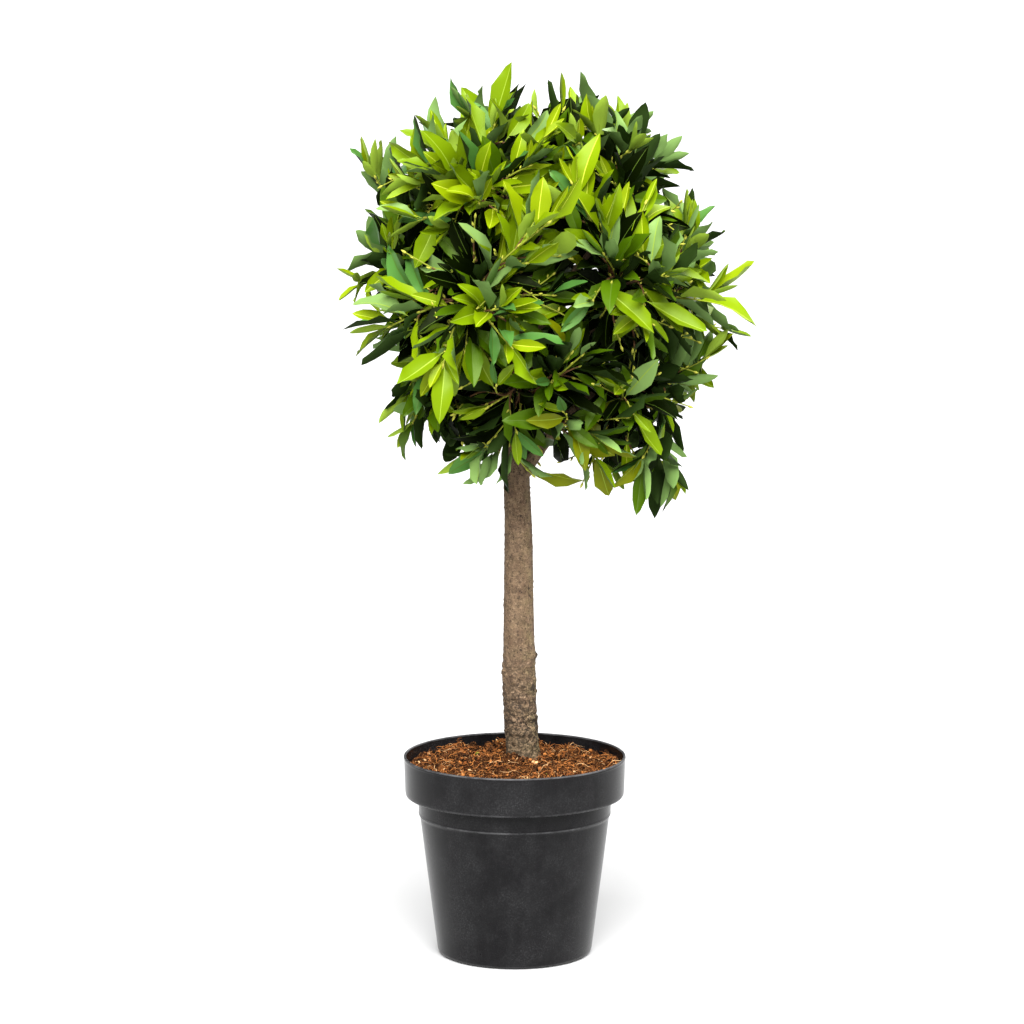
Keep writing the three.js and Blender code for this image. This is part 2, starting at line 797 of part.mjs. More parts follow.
function buildMass(index, shoots, clearance) {
  const random = randomFrom(100 + index * 17);
  const stem = stemCurve(index);
  const stemRadius = (share) => THREE.MathUtils.lerp(stem.radius, 2.6, share);
  const parts = [coreSolid(index), solidOf(limbGeometry(stem.pointAt, stemRadius, 5, 3))];
  const placed = [];
  for (const shoot of shoots) {
    const curve = shootCurve(index, stem, shoot);
    const chances = leafChances(random);
    if (!shootFits(index, curve)) {
      continue;
    }
    const radiusAt = (share) => THREE.MathUtils.lerp(SHOOTS.footRadius, SHOOTS.tipRadius, share);
    parts.push(solidOf(limbGeometry(curve, radiusAt, 3, 2)));
    for (const chance of chances) {
      const corners = settleLeaf(index, curve, shoot.direction, chance, placed);
      if (corners) {
        placed.push(corners);
        parts.push(leafSolid(corners));
      }
    }
  }
  const joined = wasm.Manifold.union(parts).subtract(clearance);
  return mainPiece(joined);
}

// ------------------------------------------------------------------- assembly

function assemble() {
  const plant = new THREE.Group();
  plant.name = "bay_topiary";
  const add = (name, solid, look) => plant.add(namedMesh(name, geometryOf(solid), look));

  add("pot", buildPot(), MATERIALS.pot);
  add("soil", buildSoil(), MATERIALS.soil);
  add("trunk", buildTrunk(0), MATERIALS.bark);

  const grownTrunk = buildTrunk(FIT_GAP);
  const grownLimbs = [grownTrunk];
  for (const mass of MASSES.filter(({ fork }) => fork > 0)) {
    add(`bough_${mass.name}`, mainPiece(buildBough(mass, 0).subtract(grownTrunk)), MATERIALS.bark);
    grownLimbs.push(buildBough(mass, FIT_GAP));
  }

  const clearance = wasm.Manifold.union(grownLimbs);
  const shares = shootDirections();
  MASSES.forEach((mass, index) => {
    const solid = buildMass(index, shares[index], clearance);
    const low = mass.elevation < -20 ? MATERIALS.leafLow : MATERIALS.leafMiddle;
    add(`mass_${mass.name}`, solid, mass.elevation > 30 ? MATERIALS.leafHigh : low);
  });
  return plant;
}

const plant = assemble();
export default plant;
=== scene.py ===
import json
import math

import bpy
import numpy as np
from bpy.props import FloatProperty, FloatVectorProperty, IntProperty, PointerProperty
from mathutils import Matrix, Vector

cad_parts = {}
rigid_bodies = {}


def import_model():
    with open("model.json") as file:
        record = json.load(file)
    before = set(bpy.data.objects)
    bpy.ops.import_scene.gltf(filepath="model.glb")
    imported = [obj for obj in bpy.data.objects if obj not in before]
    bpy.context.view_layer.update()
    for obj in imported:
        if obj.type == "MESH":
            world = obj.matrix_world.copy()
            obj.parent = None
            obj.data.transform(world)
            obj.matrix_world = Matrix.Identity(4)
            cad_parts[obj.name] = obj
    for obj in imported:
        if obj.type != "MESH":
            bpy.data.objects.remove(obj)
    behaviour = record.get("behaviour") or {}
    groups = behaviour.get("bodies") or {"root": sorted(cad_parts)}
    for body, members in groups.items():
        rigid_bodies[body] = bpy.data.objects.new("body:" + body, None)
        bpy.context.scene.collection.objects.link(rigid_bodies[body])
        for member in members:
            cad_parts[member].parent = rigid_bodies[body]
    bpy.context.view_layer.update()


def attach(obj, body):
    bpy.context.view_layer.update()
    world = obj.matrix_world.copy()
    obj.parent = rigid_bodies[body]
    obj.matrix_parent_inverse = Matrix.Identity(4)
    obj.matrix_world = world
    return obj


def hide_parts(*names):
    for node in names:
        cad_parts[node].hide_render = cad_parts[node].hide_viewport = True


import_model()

bl_info = {
    "name": "Bay Topiary in a Pot",
    "version": (1, 0, 0),
    "blender": (4, 5, 0),
    "location": "View3D > Sidebar > Bay Topiary",
    "description": "Builds a standard bay topiary in its nursery pot, piece by piece",
    "category": "Add Mesh",
}

MM = 0.001
FULL_TURN = 2.0 * math.pi
GOLDEN_ANGLE = math.pi * (3.0 - math.sqrt(5.0))
UP = np.array((0.0, 0.0, 1.0))
NOISE_ROWS = 512

# ------------------------------------------------------- sizes of the limbs (mm)

# Trunk stations: height, centre x, centre y, radius.
TRUNK_STATIONS = [
    (246.3, 11, 0, 24),
    (258, 10.2, 0, 21.4),
    (300, 7.6, 0, 20.4),
    (345, 6, 0, 20.5),
    (385, 5.3, 0, 19.9),
    (450, 5, 1, 18.8),
    (520, 4.8, 1, 17.8),
    (565, 4, 2, 16.9),
    (612, 2.4, 2, 16.2),
    (650, 3.5, 2, 14.3),
    (720, 12, 3, 11.8),
    (800, 23, 2, 8.8),
    (880, 30, 0, 6),
]
TRUNK_FOOT = TRUNK_STATIONS[0][0]
TRUNK_TIP = TRUNK_STATIONS[-1][0]

# Swellings on the bark: height, bearing in degrees, rise, half-width.
TRUNK_KNOTS = [
    (384, 345, 4.2, 11),
    (362, 190, 3.2, 10),
    (345, 285, 2.6, 12),
    (318, 250, 2.0, 10),
    (296, 30, 2.4, 14),
    (560, 265, 1.6, 9),
]

CROWN_CENTRE = np.array((32.0, 0.0, 848.0))
REACH_SIDE = 258.0
REACH_UP = 284.0
REACH_DOWN = 276.0
HEART_RADIUS = 130.0

# Places where the ball bulges or falls in: bearing, elevation, lift, width.
CROWN_LOBES = [
    (350, -52, 0.2, 0.08),
    (182, 38, 0.05, 0.06),
    (182, -24, -0.16, 0.07),
    (5, 18, -0.11, 0.05),
    (0, -20, -0.1, 0.03),
    (180, 66, -0.07, 0.03),
    (270, -68, 0.06, 0.06),
    (180, -56, 0.05, 0.04),
    (95, -8, -0.05, 0.08),
    (255, 10, -0.03, 0.06),
]
# Where leaves stop short of that outline or pass it, in the same way.
LEAF_LOBES = [
    (0, 22, 0.08, 0.03), (0, 2, -0.09, 0.02), (0, 52, -0.08, 0.06), (0, 77, 0.12, 0.03),
    (0, 90, 0.20, 0.010), (180, 79, -0.20, 0.03), (180, 60, 0.03, 0.04), (180, 42, 0.07, 0.03),
    (180, 28, 0.22, 0.008), (180, 14, 0.08, 0.006), (180, 20, -0.14, 0.04),
    (180, 2, 0.33, 0.008), (180, -9, 0.20, 0.006), (90, 0, 0.11, 0.06), (180, 0, -0.10, 0.03),
    (180, -22, -0.15, 0.04), (180, -38, 0.20, 0.008), (180, -49, 0.28, 0.008),
    (180, -68, 0.18, 0.008), (180, -56, -0.13, 0.03), (0, -16, 0.24, 0.02),
    (0, -44, -0.15, 0.02), (0, -64, 0.20, 0.03), (270, -75, 0.08, 0.03),
]

# Masses of foliage: name, bearing, elevation, height of the fork, and the radii
# of the bough that carries it. The mass at the top stands on the leader.
MASSES = [
    ("lower_right", 346, -42, 604, 9.6, 5.6),
    ("lower_back", 74, -44, 640, 8.6, 5.2),
    ("lower_left", 168, -42, 628, 8.8, 5.4),
    ("lower_front", 256, -44, 652, 8.4, 5.2),
    ("middle_right", 22, 4, 684, 8, 5),
    ("middle_back", 94, 6, 706, 7.6, 4.8),
    ("middle_left", 166, 4, 694, 7.8, 5),
    ("middle_front_left", 238, 6, 722, 7.4, 4.8),
    ("middle_front_right", 310, 5, 738, 7.2, 4.8),
    ("upper_right", 350, 46, 778, 6.4, 4.6),
    ("upper_back", 112, 48, 794, 6.2, 4.4),
    ("upper_left", 228, 47, 762, 6.6, 4.6),
    ("top", 0, 90, 0, 0, 0),
]
BOUGH_ENTRY = 10
BOUGH_CLIMB = 0.62
# Shares of the way to a mass's heart where its bough may end: first, last, step.
BOUGH_ENDS = (0.6, 0.9, 0.05)
# Height (mm) from which the trunk is in a twig's way, and the runs it and a bough
# are measured in.
LIMBS_FROM, TRUNK_RUNS, BOUGH_RUNS = 560, 23, 8

SHOOT_COUNT = 114
SHOOT_FOOT_RADIUS = 2.8
SHOOT_TIP_DEPTH = 50
SHOOT_UNEVEN, SHOOT_SWING = 0.06, 0.25
SHOOT_LOWEST = -0.96


# ---------------------------------------------------------------------- helpers


def random_from(seed):
    """Repeatable random numbers from 0 to 1 for a whole-number seed."""
    mask = 0xFFFFFFFF
    state = seed & mask

    def draw():
        nonlocal state
        state = (state + 0x6D2B79F5) & mask
        mixed = ((state ^ (state >> 15)) * (state | 1)) & mask
        mixed ^= (mixed + ((mixed ^ (mixed >> 7)) * (mixed | 61))) & mask
        return ((mixed ^ (mixed >> 14)) & mask) / 4294967296

    return draw


def clamp(value, low, high):
    return max(low, min(high, value))


def lerp(start, end, share):
    return start + (end - start) * share


def unit(vector):
    return vector / math.sqrt(float(vector @ vector))


def cross(a, b):
    return np.array((
        a[1] * b[2] - a[2] * b[1],
        a[2] * b[0] - a[0] * b[2],
        a[0] * b[1] - a[1] * b[0],
    ))


def length_of(vector):
    return math.sqrt(float(vector @ vector))


def heading(bearing, elevation):
    """Unit vector for a bearing round +Z from +X and an elevation, in degrees."""
    turn, rise = math.radians(bearing), math.radians(elevation)
    flat = math.cos(rise)
    return np.array((flat * math.cos(turn), flat * math.sin(turn), math.sin(rise)))


def cross_directions(direction):
    """Two unit vectors square to a direction and to each other."""
    helper = UP if abs(direction[2]) < 0.95 else np.array((1.0, 0.0, 0.0))
    side = unit(cross(direction, helper))
    return side, unit(cross(direction, side))


def bend(start, guide, end, share):
    """Point on a curve from start to end that sets off towards a guide point."""
    rest = 1 - share
    return start * (rest * rest) + guide * (2 * rest * share) + end * (share * share)


def along_stations(height, column):
    """Value of one column of the trunk's stations at a height, on a smooth curve."""
    last = len(TRUNK_STATIONS) - 1
    index = 0
    while index < last - 1 and height > TRUNK_STATIONS[index + 1][0]:
        index += 1

    def slope(at):
        before, after = TRUNK_STATIONS[max(at - 1, 0)], TRUNK_STATIONS[min(at + 1, last)]
        return (after[column] - before[column]) / (after[0] - before[0])

    start, end = TRUNK_STATIONS[index], TRUNK_STATIONS[index + 1]
    span = end[0] - start[0]
    t = clamp((height - start[0]) / span, 0, 1)
    return (
        (2 * t**3 - 3 * t**2 + 1) * start[column]
        + (t**3 - 2 * t**2 + t) * span * slope(index)
        + (3 * t**2 - 2 * t**3) * end[column]
        + (t**3 - t**2) * span * slope(index + 1)
    )


def station_column(heights, column):
    return np.array([along_stations(height, column) for height in heights])


def lattice_noise(across, along, seed, wrap):
    """Smooth noise from -1 to 1 over a grid whose first direction closes on itself."""
    table = np.random.default_rng(seed).random((wrap, NOISE_ROWS)) * 2 - 1
    column, row = np.floor(across).astype(int), np.floor(along).astype(int)
    u, v = across - column, along - row
    u, v = u * u * (3 - 2 * u), v * v * (3 - 2 * v)

    def corner(step_u, step_v):
        return table[(column + step_u) % wrap, (row + step_v) % NOISE_ROWS]

    near = corner(0, 0) * (1 - u) + corner(1, 0) * u
    far = corner(0, 1) * (1 - u) + corner(1, 1) * u
    return near * (1 - v) + far * v


# ---------------------------------------------------------------- mesh and nodes


def mesh_object(name, points, faces, edges=(), smooth=True):
    """An object at the origin from points in millimetres."""
    mesh = bpy.data.meshes.new(name)
    mesh.from_pydata((np.asarray(points) * MM).tolist(), edges, faces)
    mesh.validate()
    mesh.shade_smooth() if smooth else mesh.shade_flat()
    obj = bpy.data.objects.new(name, mesh)
    bpy.context.scene.collection.objects.link(obj)
    return obj


def point_values(mesh, name, kind, values):
    """Stores one value for each point of a mesh."""
    layer = mesh.attributes.new(name, kind, "POINT")
    field = "vector" if kind == "FLOAT_VECTOR" else "value"
    layer.data.foreach_set(field, np.asarray(values).ravel())


def ring_faces(rings, sides, first=0):
    """Four-sided faces between rings of points that are laid one after another."""
    faces = []
    for ring in range(rings - 1):
        low = first + ring * sides
        for side in range(sides):
            after = (side + 1) % sides
            faces.append((low + side, low + after, low + sides + after, low + sides + side))
    return faces


def closed_tube(rings, sides, first=0):
    """Faces of rings of points closed at both ends."""
    last = first + (rings - 1) * sides
    caps = [tuple(range(first + sides - 1, first - 1, -1)), tuple(range(last, last + sides))]
    return ring_faces(rings, sides, first) + caps


def lathe(outline, sides):
    """Points and faces of an outline of (radius, height) turned round +Z."""
    points, rings, faces = [], [], []
    for radius, height in outline:
        turns = [FULL_TURN * side / sides for side in range(sides if radius > 1e-6 else 1)]
        rings.append([len(points) + number for number in range(len(turns))])
        points += [(radius * math.cos(turn), radius * math.sin(turn), height) for turn in turns]
    for low, high in zip(rings, rings[1:]):
        for side in range(sides):
            after = (side + 1) % sides
            corners = (low[side % len(low)], low[after % len(low)],
                       high[after % len(high)], high[side % len(high)])
            # At a pole two corners are one point, and the face has three sides.
            faces.append(tuple(dict.fromkeys(corners)))
    return np.array(points), faces


def rounded(corners):
    """An outline whose corners, given as (radius, height, rounding), are rounded off."""
    outline = []
    for index, (x, z, rounding) in enumerate(corners):
        here = np.array((x, z), dtype=float)
        if rounding == 0 or index in (0, len(corners) - 1):
            outline.append((x, z))
            continue
        before = np.array(corners[index - 1][:2], dtype=float) - here
        after = np.array(corners[index + 1][:2], dtype=float) - here
        reach_before, reach_after = np.hypot(*before), np.hypot(*after)
        cut = min(rounding, 0.45 * reach_before, 0.45 * reach_after)
        start, end = here + before / reach_before * cut, here + after / reach_after * cut
        steps = 5
        for step in range(steps + 1):
            point = bend(start, here, end, step / steps)
            outline.append((float(point[0]), float(point[1])))
    return outline


def make_plain(obj):
    """Turns the result of an object's modifiers into its plain mesh."""
    depsgraph = bpy.context.evaluated_depsgraph_get()
    made = bpy.data.meshes.new_from_object(
        obj.evaluated_get(depsgraph), preserve_all_data_layers=True, depsgraph=depsgraph
    )
    obj.modifiers.clear()
    before = obj.data
    obj.data = made
    bpy.data.meshes.remove(before)
    made.name = obj.name


class Graph:
    """Adds nodes to a tree, links them and fills in their sockets."""

    def __init__(self, tree):
        self.tree = tree

    def add(self, kind, values=None, **settings):
        node = self.tree.nodes.new(kind)
        for key, value in settings.items():
            setattr(node, key, value)
        for key, value in (values or {}).items():
            self.fill(node.inputs[key], value)
        return node

    def fill(self, socket, value):
        if isinstance(value, bpy.types.NodeSocket):
            self.tree.links.new(value, socket)
        else:
            socket.default_value = value

    def math(self, operation, *values):
        node = self.add("ShaderNodeMath", operation=operation)
        for socket, value in zip(node.inputs, values):
            self.fill(socket, value)
        return node.outputs[0]

    def times(self, first, second):
        return self.math("MULTIPLY", first, second)

    def plus(self, first, second):
        return self.math("ADD", first, second)

    def largest(self, values):
        most = values[0]
        for value in values[1:]:
            most = self.math("MAXIMUM", most, value)
        return most


def geometry_tree(name, inputs):
    """A Geometry Nodes tree with a geometry socket at each end and named inputs."""
    tree = bpy.data.node_groups.new(name, "GeometryNodeTree")
    tree.interface.new_socket("Geometry", in_out="INPUT", socket_type="NodeSocketGeometry")
    tree.interface.new_socket("Geometry", in_out="OUTPUT", socket_type="NodeSocketGeometry")
    for label, kind, default in inputs:
        socket = tree.interface.new_socket(label, in_out="INPUT", socket_type=kind)
        if default is not None:
            socket.default_value = default
    graph = Graph(tree)
    entry = graph.add("NodeGroupInput")
    exit_node = graph.add("NodeGroupOutput")
    return tree, graph, entry.outputs, exit_node.inputs[0]


def run_tree(obj, tree, values):
    """Puts a tree on an object with its named inputs, and makes the result plain."""
    modifier = obj.modifiers.new(tree.name, "NODES")
    modifier.node_group = tree
    for item in tree.interface.items_tree:
        if item.item_type == "SOCKET" and item.in_out == "INPUT" and item.name in values:
            modifier[item.identifier] = values[item.name]
    obj.update_tag()
    make_plain(obj)


def named_value(graph, name, kind):
    node = graph.add("GeometryNodeInputNamedAttribute", {"Name": name}, data_type=kind)
    return node.outputs["Attribute"]


def compared(graph, value, number, operation="EQUAL"):
    """Compares a whole number at each point with a fixed one."""
    node = graph.add("FunctionNodeCompare", data_type="INT", operation=operation)
    first, second = [socket for socket in node.inputs if socket.type == "INT"]
    graph.fill(first, value)
    second.default_value = number
    return node.outputs[0]


def shapes_of(graph, collection):
    """The objects of a collection as instances to pick from."""
    return graph.add(
        "GeometryNodeCollectionInfo",
        {"Collection": collection, "Separate Children": True, "Reset Children": True},
        transform_space="ORIGINAL",
    ).outputs[0]


def realized(graph, geometry):
    return graph.add("GeometryNodeRealizeInstances", {"Geometry": geometry}).outputs[0]


def both(graph, first, second):
    return graph.add(
        "FunctionNodeBooleanMath", {0: first, 1: second}, operation="AND"
    ).outputs[0]


def set_material(graph, geometry, material, selection=True):
    return graph.add(
        "GeometryNodeSetMaterial",
        {"Geometry": geometry, "Material": material, "Selection": selection},
    ).outputs[0]


def new_material(name, roughness, specular):
    """A material with its shader; returns the material, its graph and the shader."""
    material = bpy.data.materials.new(name)
    material.use_nodes = True
    graph = Graph(material.node_tree)
    shader = material.node_tree.nodes["Principled BSDF"]
    shader.inputs["Roughness"].default_value = roughness
    shader.inputs["Specular IOR Level"].default_value = specular
    return material, graph, shader


def plain_material(name, colour, roughness, specular, tint=None):
    """A material of one colour, with the tint of its gloss."""
    material, _, shader = new_material(name, roughness, specular)
    shader.inputs["Base Color"].default_value = (*colour, 1)
    if tint is not None:
        shader.inputs["Specular Tint"].default_value = (*tint, 1)
    return material


def mixed(graph, factor, first, second):
    """Mixes two colours or colour sockets."""
    node = graph.add("ShaderNodeMix", data_type="RGBA")
    colours = [socket for socket in node.inputs if socket.type == "RGBA"]
    graph.fill(node.inputs["Factor"], factor)
    for socket, colour in zip(colours, (first, second)):
        graph.fill(socket, (*colour, 1) if isinstance(colour, tuple) else colour)
    return next(socket for socket in node.outputs if socket.type == "RGBA")


def layered(graph, colour, *layers):
    """Lays colours over a first one, each by its own amount."""
    for amount, layer in layers:
        colour = mixed(graph, amount, colour, layer)
    return colour


def stretched(graph, place, scale):
    return graph.add("ShaderNodeMapping", {"Vector": place, "Scale": scale}).outputs[0]


def noise(graph, place, scale, detail, roughness):
    """Cloudy noise; a scale of three numbers stretches it, and one keeps it even."""
    if isinstance(scale, tuple):
        place, scale = stretched(graph, place, scale), 1
    return graph.add(
        "ShaderNodeTexNoise",
        {"Vector": place, "Scale": scale, "Detail": detail, "Roughness": roughness},
    ).outputs[0]


def between(graph, value, low, high):
    """Stretches a value so that low becomes 0 and high becomes 1, held at both ends."""
    return graph.add(
        "ShaderNodeMapRange", {"Value": value, "From Min": low, "From Max": high}
    ).outputs[0]


def clouds(graph, place, scale, detail, roughness, low, high):
    """Noise that is 0 below one level and 1 above another."""
    return between(graph, noise(graph, place, scale, detail, roughness), low, high)


def bump(graph, shader, height, strength, distance):
    """Raises a shader's surface by a height, without moving its points."""
    node = graph.add(
        "ShaderNodeBump", {"Height": height, "Strength": strength, "Distance": distance}
    )
    graph.fill(shader.inputs["Normal"], node.outputs[0])


def object_place(graph):
    return graph.add("ShaderNodeTexCoord").outputs["Object"]


def finish_piece(obj, slot, *nodes):
    """Ties a finished piece to the plant's one body and hides the parts it replaces; its slot is
    not used.
    """
    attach(obj, "root")
    if nodes:
        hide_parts(*nodes)


# ------------------------------------------------------------- the rule of growth


def trunk_centre(height):
    return np.array((along_stations(height, 1), along_stations(height, 2), height))


HEARTS = np.array([
    heading(bearing, elevation) * HEART_RADIUS + CROWN_CENTRE
    for _, bearing, elevation, *_ in MASSES
])


def depth_in_space(index, points):
    """Distance from points into a mass's own space, measured to its nearest side."""
    own = HEARTS[index]
    others = np.delete(HEARTS, index, axis=0)
    to_own = ((points - own) ** 2).sum(-1)[..., None]
    to_others = ((points[..., None, :] - others) ** 2).sum(-1)
    return ((to_others - to_own) / (2 * np.sqrt(((others - own) ** 2).sum(-1)))).min(-1)


def bough_curve(index):
    """Curve of a bough from the middle of the trunk out to where its mass begins."""
    _, _, _, fork, _, _ = MASSES[index]
    start = trunk_centre(fork)
    share, most, step = BOUGH_ENDS
    while share < most:
        if depth_in_space(index, lerp(start, HEARTS[index], share)) >= BOUGH_ENTRY:
            break
        share += step
    end = lerp(start, HEARTS[index], share)
    guide = lerp(start, end, 0.5)
    guide[2] = lerp(start[2], end[2], BOUGH_CLIMB)
    return lambda t: bend(start, guide, end, t)


def limb_runs():
    """Straight runs along every limb, as starts, ends and radii, in three arrays."""
    starts, ends, radii = [], [], []

    def add(points, sizes):
        for i in range(len(points) - 1):
            starts.append(points[i])
            ends.append(points[i + 1])
            radii.append(max(sizes[i], sizes[i + 1]))

    heights = [lerp(LIMBS_FROM, TRUNK_TIP, i / TRUNK_RUNS) for i in range(TRUNK_RUNS + 1)]
    add([trunk_centre(height) for height in heights], station_column(heights, 3))
    for index, (_, _, _, fork, thick, thin) in enumerate(MASSES):
        if fork > 0:
            curve = bough_curve(index)
            shares = [i / BOUGH_RUNS for i in range(BOUGH_RUNS + 1)]
            add([curve(share) for share in shares], [lerp(thick, thin, share) for share in shares])
    return np.array(starts), np.array(ends), np.array(radii)


LIMB_STARTS, LIMB_ENDS, LIMB_RADII = limb_runs()


def clear_of_limbs(starts, ends, clearance):
    """True when straight runs keep a clearance from every limb."""
    u = (ends - starts)[:, None, :]
    v = (LIMB_ENDS - LIMB_STARTS)[None]
    w = starts[:, None, :] - LIMB_STARTS[None]
    uu, uv, vv = (u * u).sum(-1), (u * v).sum(-1), (v * v).sum(-1)
    uw, vw = (u * w).sum(-1), (v * w).sum(-1)
    flat = uu * vv - uv * uv
    s = np.where(flat > 1e-9, np.clip((uv * vw - vv * uw) / np.maximum(flat, 1e-9), 0, 1), 0)
    t = np.clip((uv * s + vw) / vv, 0, 1)
    s = np.clip((uv * t - uw) / uu, 0, 1)
    t = np.clip((uv * s + vw) / vv, 0, 1)
    gap = w + u * s[..., None] - v * t[..., None]
    return bool((np.sqrt((gap * gap).sum(-1)) >= LIMB_RADII + clearance).all())


def lobed(reach, direction, lobes):
    """A reach in a direction, lengthened or shortened by the lobes near it."""
    for bearing, elevation, lift, width in lobes:
        away = 1 - float(direction @ heading(bearing, elevation))
        reach *= 1 + lift * math.exp(-away / width)
    return reach


def crown_reach(direction):
    """How far leaf tips reach from the crown's centre in a direction."""
    flat = math.hypot(direction[0], direction[1]) / REACH_SIDE
    tall = direction[2] / (REACH_UP if direction[2] > 0 else REACH_DOWN)
    return lobed(1 / math.hypot(flat, tall), direction, CROWN_LOBES)


def leaf_reach(direction):
    """The same, drawn in or out for the leaves."""
    return lobed(crown_reach(direction), direction, LEAF_LOBES)


def stem_curve(index):
    """Stem of a mass, from just inside its limb's tip to the foot of its shoots."""
    _, bearing, elevation, fork, _, thin = MASSES[index]
    axis = heading(bearing, elevation)
    if fork > 0:
        curve = bough_curve(index)
    else:
        def curve(share):
            return trunk_centre(TRUNK_TIP - 30 * (1 - share))
    tip = curve(1)
    along = unit(tip - curve(0.97))
    start = tip - along * 2
    end = axis * (HEART_RADIUS * (1.12 if fork > 0 else 0.95)) + CROWN_CENTRE
    guide = tip + along * (length_of(tip - end) * 0.4)
    radius = (thin if fork > 0 else 6) - 0.6
    return radius, lambda share: bend(start, guide, end, share)


def shoot_directions():
    """Directions spread evenly over the ball, each one given to a mass."""
    random = random_from(7)
    shares = [[] for _ in MASSES]
    for i in range(SHOOT_COUNT):
        z = 1 - (2 * (i + 0.5)) / SHOOT_COUNT
        turn = i * GOLDEN_ANGLE + (random() - 0.5) * SHOOT_SWING
        flat = math.sqrt(1 - z * z)
        direction = np.array((flat * math.cos(turn), flat * math.sin(turn), z))
        stretch = 1 + (random() * 2 - 1) * SHOOT_UNEVEN
        if z < SHOOT_LOWEST:
            continue
        reach = crown_reach(direction) * stretch
        point = direction * (reach * 0.8) + CROWN_CENTRE
        depths = [float(depth_in_space(index, point)) for index in range(len(MASSES))]
        shares[depths.index(max(depths))].append((direction, reach))
    return shares


def shoot_curve(index, stem, direction, reach):
    """One shoot: its curve from the stem to a little way inside the surface."""
    axis = heading(*MASSES[index][1:3])
    spread = math.acos(clamp(float(direction @ axis), -1, 1))
    foot = stem(clamp(1 - spread * 0.75, 0.3, 1))
    end = direction * (reach - SHOOT_TIP_DEPTH) + CROWN_CENTRE
    outward = unit(unit(foot - CROWN_CENTRE) + axis)
    guide = foot + outward * (length_of(foot - end) * 0.45)
    guide[2] += 8
    return lambda share: bend(foot, guide, end, share)


def shoot_fits(index, curve, spare):
    """True when a shoot stays in its mass's space and clear of the limbs."""
    points = np.array([curve(i / 5) for i in range(1, 6)])
    starts = np.array([curve((i - 1) / 5 + 0.08) for i in range(1, 6)])
    if (depth_in_space(index, points) < spare).any():
        return False
    return clear_of_limbs(starts, points, SHOOT_FOOT_RADIUS + 1)


# --------------------------------------------------------------------- settings


def length(name, description, default):
    return FloatProperty(name=name, description=description, default=default, unit="LENGTH")


def colour(name, description, default):
    return FloatVectorProperty(
        name=name, description=description, default=default, subtype="COLOR", min=0, max=1
    )


def strength(name, description, default):
    return FloatProperty(name=name, description=description, default=default, min=0)


def whole(name, description, default, least=0):
    return IntProperty(name=name, description=description, default=default, min=least)


class PotSettings(bpy.types.PropertyGroup):
    """Sizes and colours of the nursery pot."""

    rim_radius: length("Rim radius", "Outer radius at the rim", 0.140)
    foot_radius: length("Foot radius", "Outer radius just above the underside", 0.098)
    height: length("Height", "Height of the pot", 0.254)
    collar_height: length("Collar height", "Height of the thick collar at the rim", 0.050)
    wall: length("Wall", "Thickness of the wall", 0.0024)
    sides: whole("Sides", "Steps round the pot", 160, 24)
    plastic: colour("Plastic", "Colour of the clean plastic", (0.0036, 0.0034, 0.0038))
    # The dust colour also paints the pale edge bands, part wear and part painted highlight.
    dust: colour("Dust", "Colour of dust and scuffs on the plastic", (0.11, 0.11, 0.113))


class SoilSettings(bpy.types.PropertyGroup):
    """Sizes and colours of the soil."""

    edge_height: length("Edge height", "Height of the soil against the pot's wall", 0.241)
    roughness: length("Roughness", "How far clods stand out of the surface", 0.0102)
    crumbs: whole("Crumbs", "Crumbs for each square metre", 44000)
    fibres: whole("Fibres", "Fibres for each square metre", 25000)
    peat: colour("Peat", "Main colour of the soil", (0.048, 0.015, 0.0045))


class TrunkSettings(bpy.types.PropertyGroup):
    """Sizes and colours of the trunk and boughs."""

    sides: whole("Sides", "Steps round the trunk", 120, 12)
    ring_step: length("Ring step", "Height between rings of points", 0.0018)
    relief: length("Relief", "Depth of the bark's relief", 0.0004)
    bark: colour("Bark", "Main colour of the bark", (0.084, 0.0480, 0.0268))
    bark_dark: colour("Dark bark", "Colour in the cracks and scars", (0.014, 0.008, 0.004))
    bark_pale: colour("Pale bark", "Colour of the dry, pale patches", (0.290, 0.196, 0.118))


class CrownSettings(bpy.types.PropertyGroup):
    """Sizes and numbers of the twigs and leaves."""

    leaf_length: length("Leaf length", "Length of a grown leaf with its stalk", 0.079)
    side_twigs: whole("Side twigs", "Finer twigs on each shoot", 3)
    shoot_leaves: whole("Leaves on a shoot", "Grown leaves along a shoot", 12, 1)
    twig_leaves: whole("Leaves on a twig", "Grown leaves along a finer twig", 7, 1)
    young_leaves: whole("Young leaves", "Small upright leaves at each tip", 3)
    twig_thickness: FloatProperty(
        name="Twig thickness", description="Thickness of twigs against their usual one",
        default=1.0, min=0.1,
    )


class StageSettings(bpy.types.PropertyGroup):
    """The floor, the light and the camera."""

    floor_size: length("Floor size", "Length of the floor's sides", 160.0)
    key_strength: strength("High light", "Strength of the broad soft light from above", 11.6)
    back_strength: strength("Back light", "Strength of the broad light from behind", 2.4)
    sky: strength("Surroundings", "Brightness of the white surroundings", 0.28)
    lens: FloatProperty(
        name="Lens", description="Focal length in millimetres", default=141.9,
    )


# -------------------------------------------------------------------------- pot

# How far the ridge lies below the collar (mm).
RIDGE_DROP = 24
# Edges painted pale, part wear and part painted highlight: height and half-width (m), strength.
WEAR_AND_HIGHLIGHT_EDGES = [
    (0.2531, 0.0011, 0.9),
    (0.2056, 0.0018, 0.34),
    (0.1801, 0.0016, 0.6),
    (0.0025, 0.0022, 0.25),
]


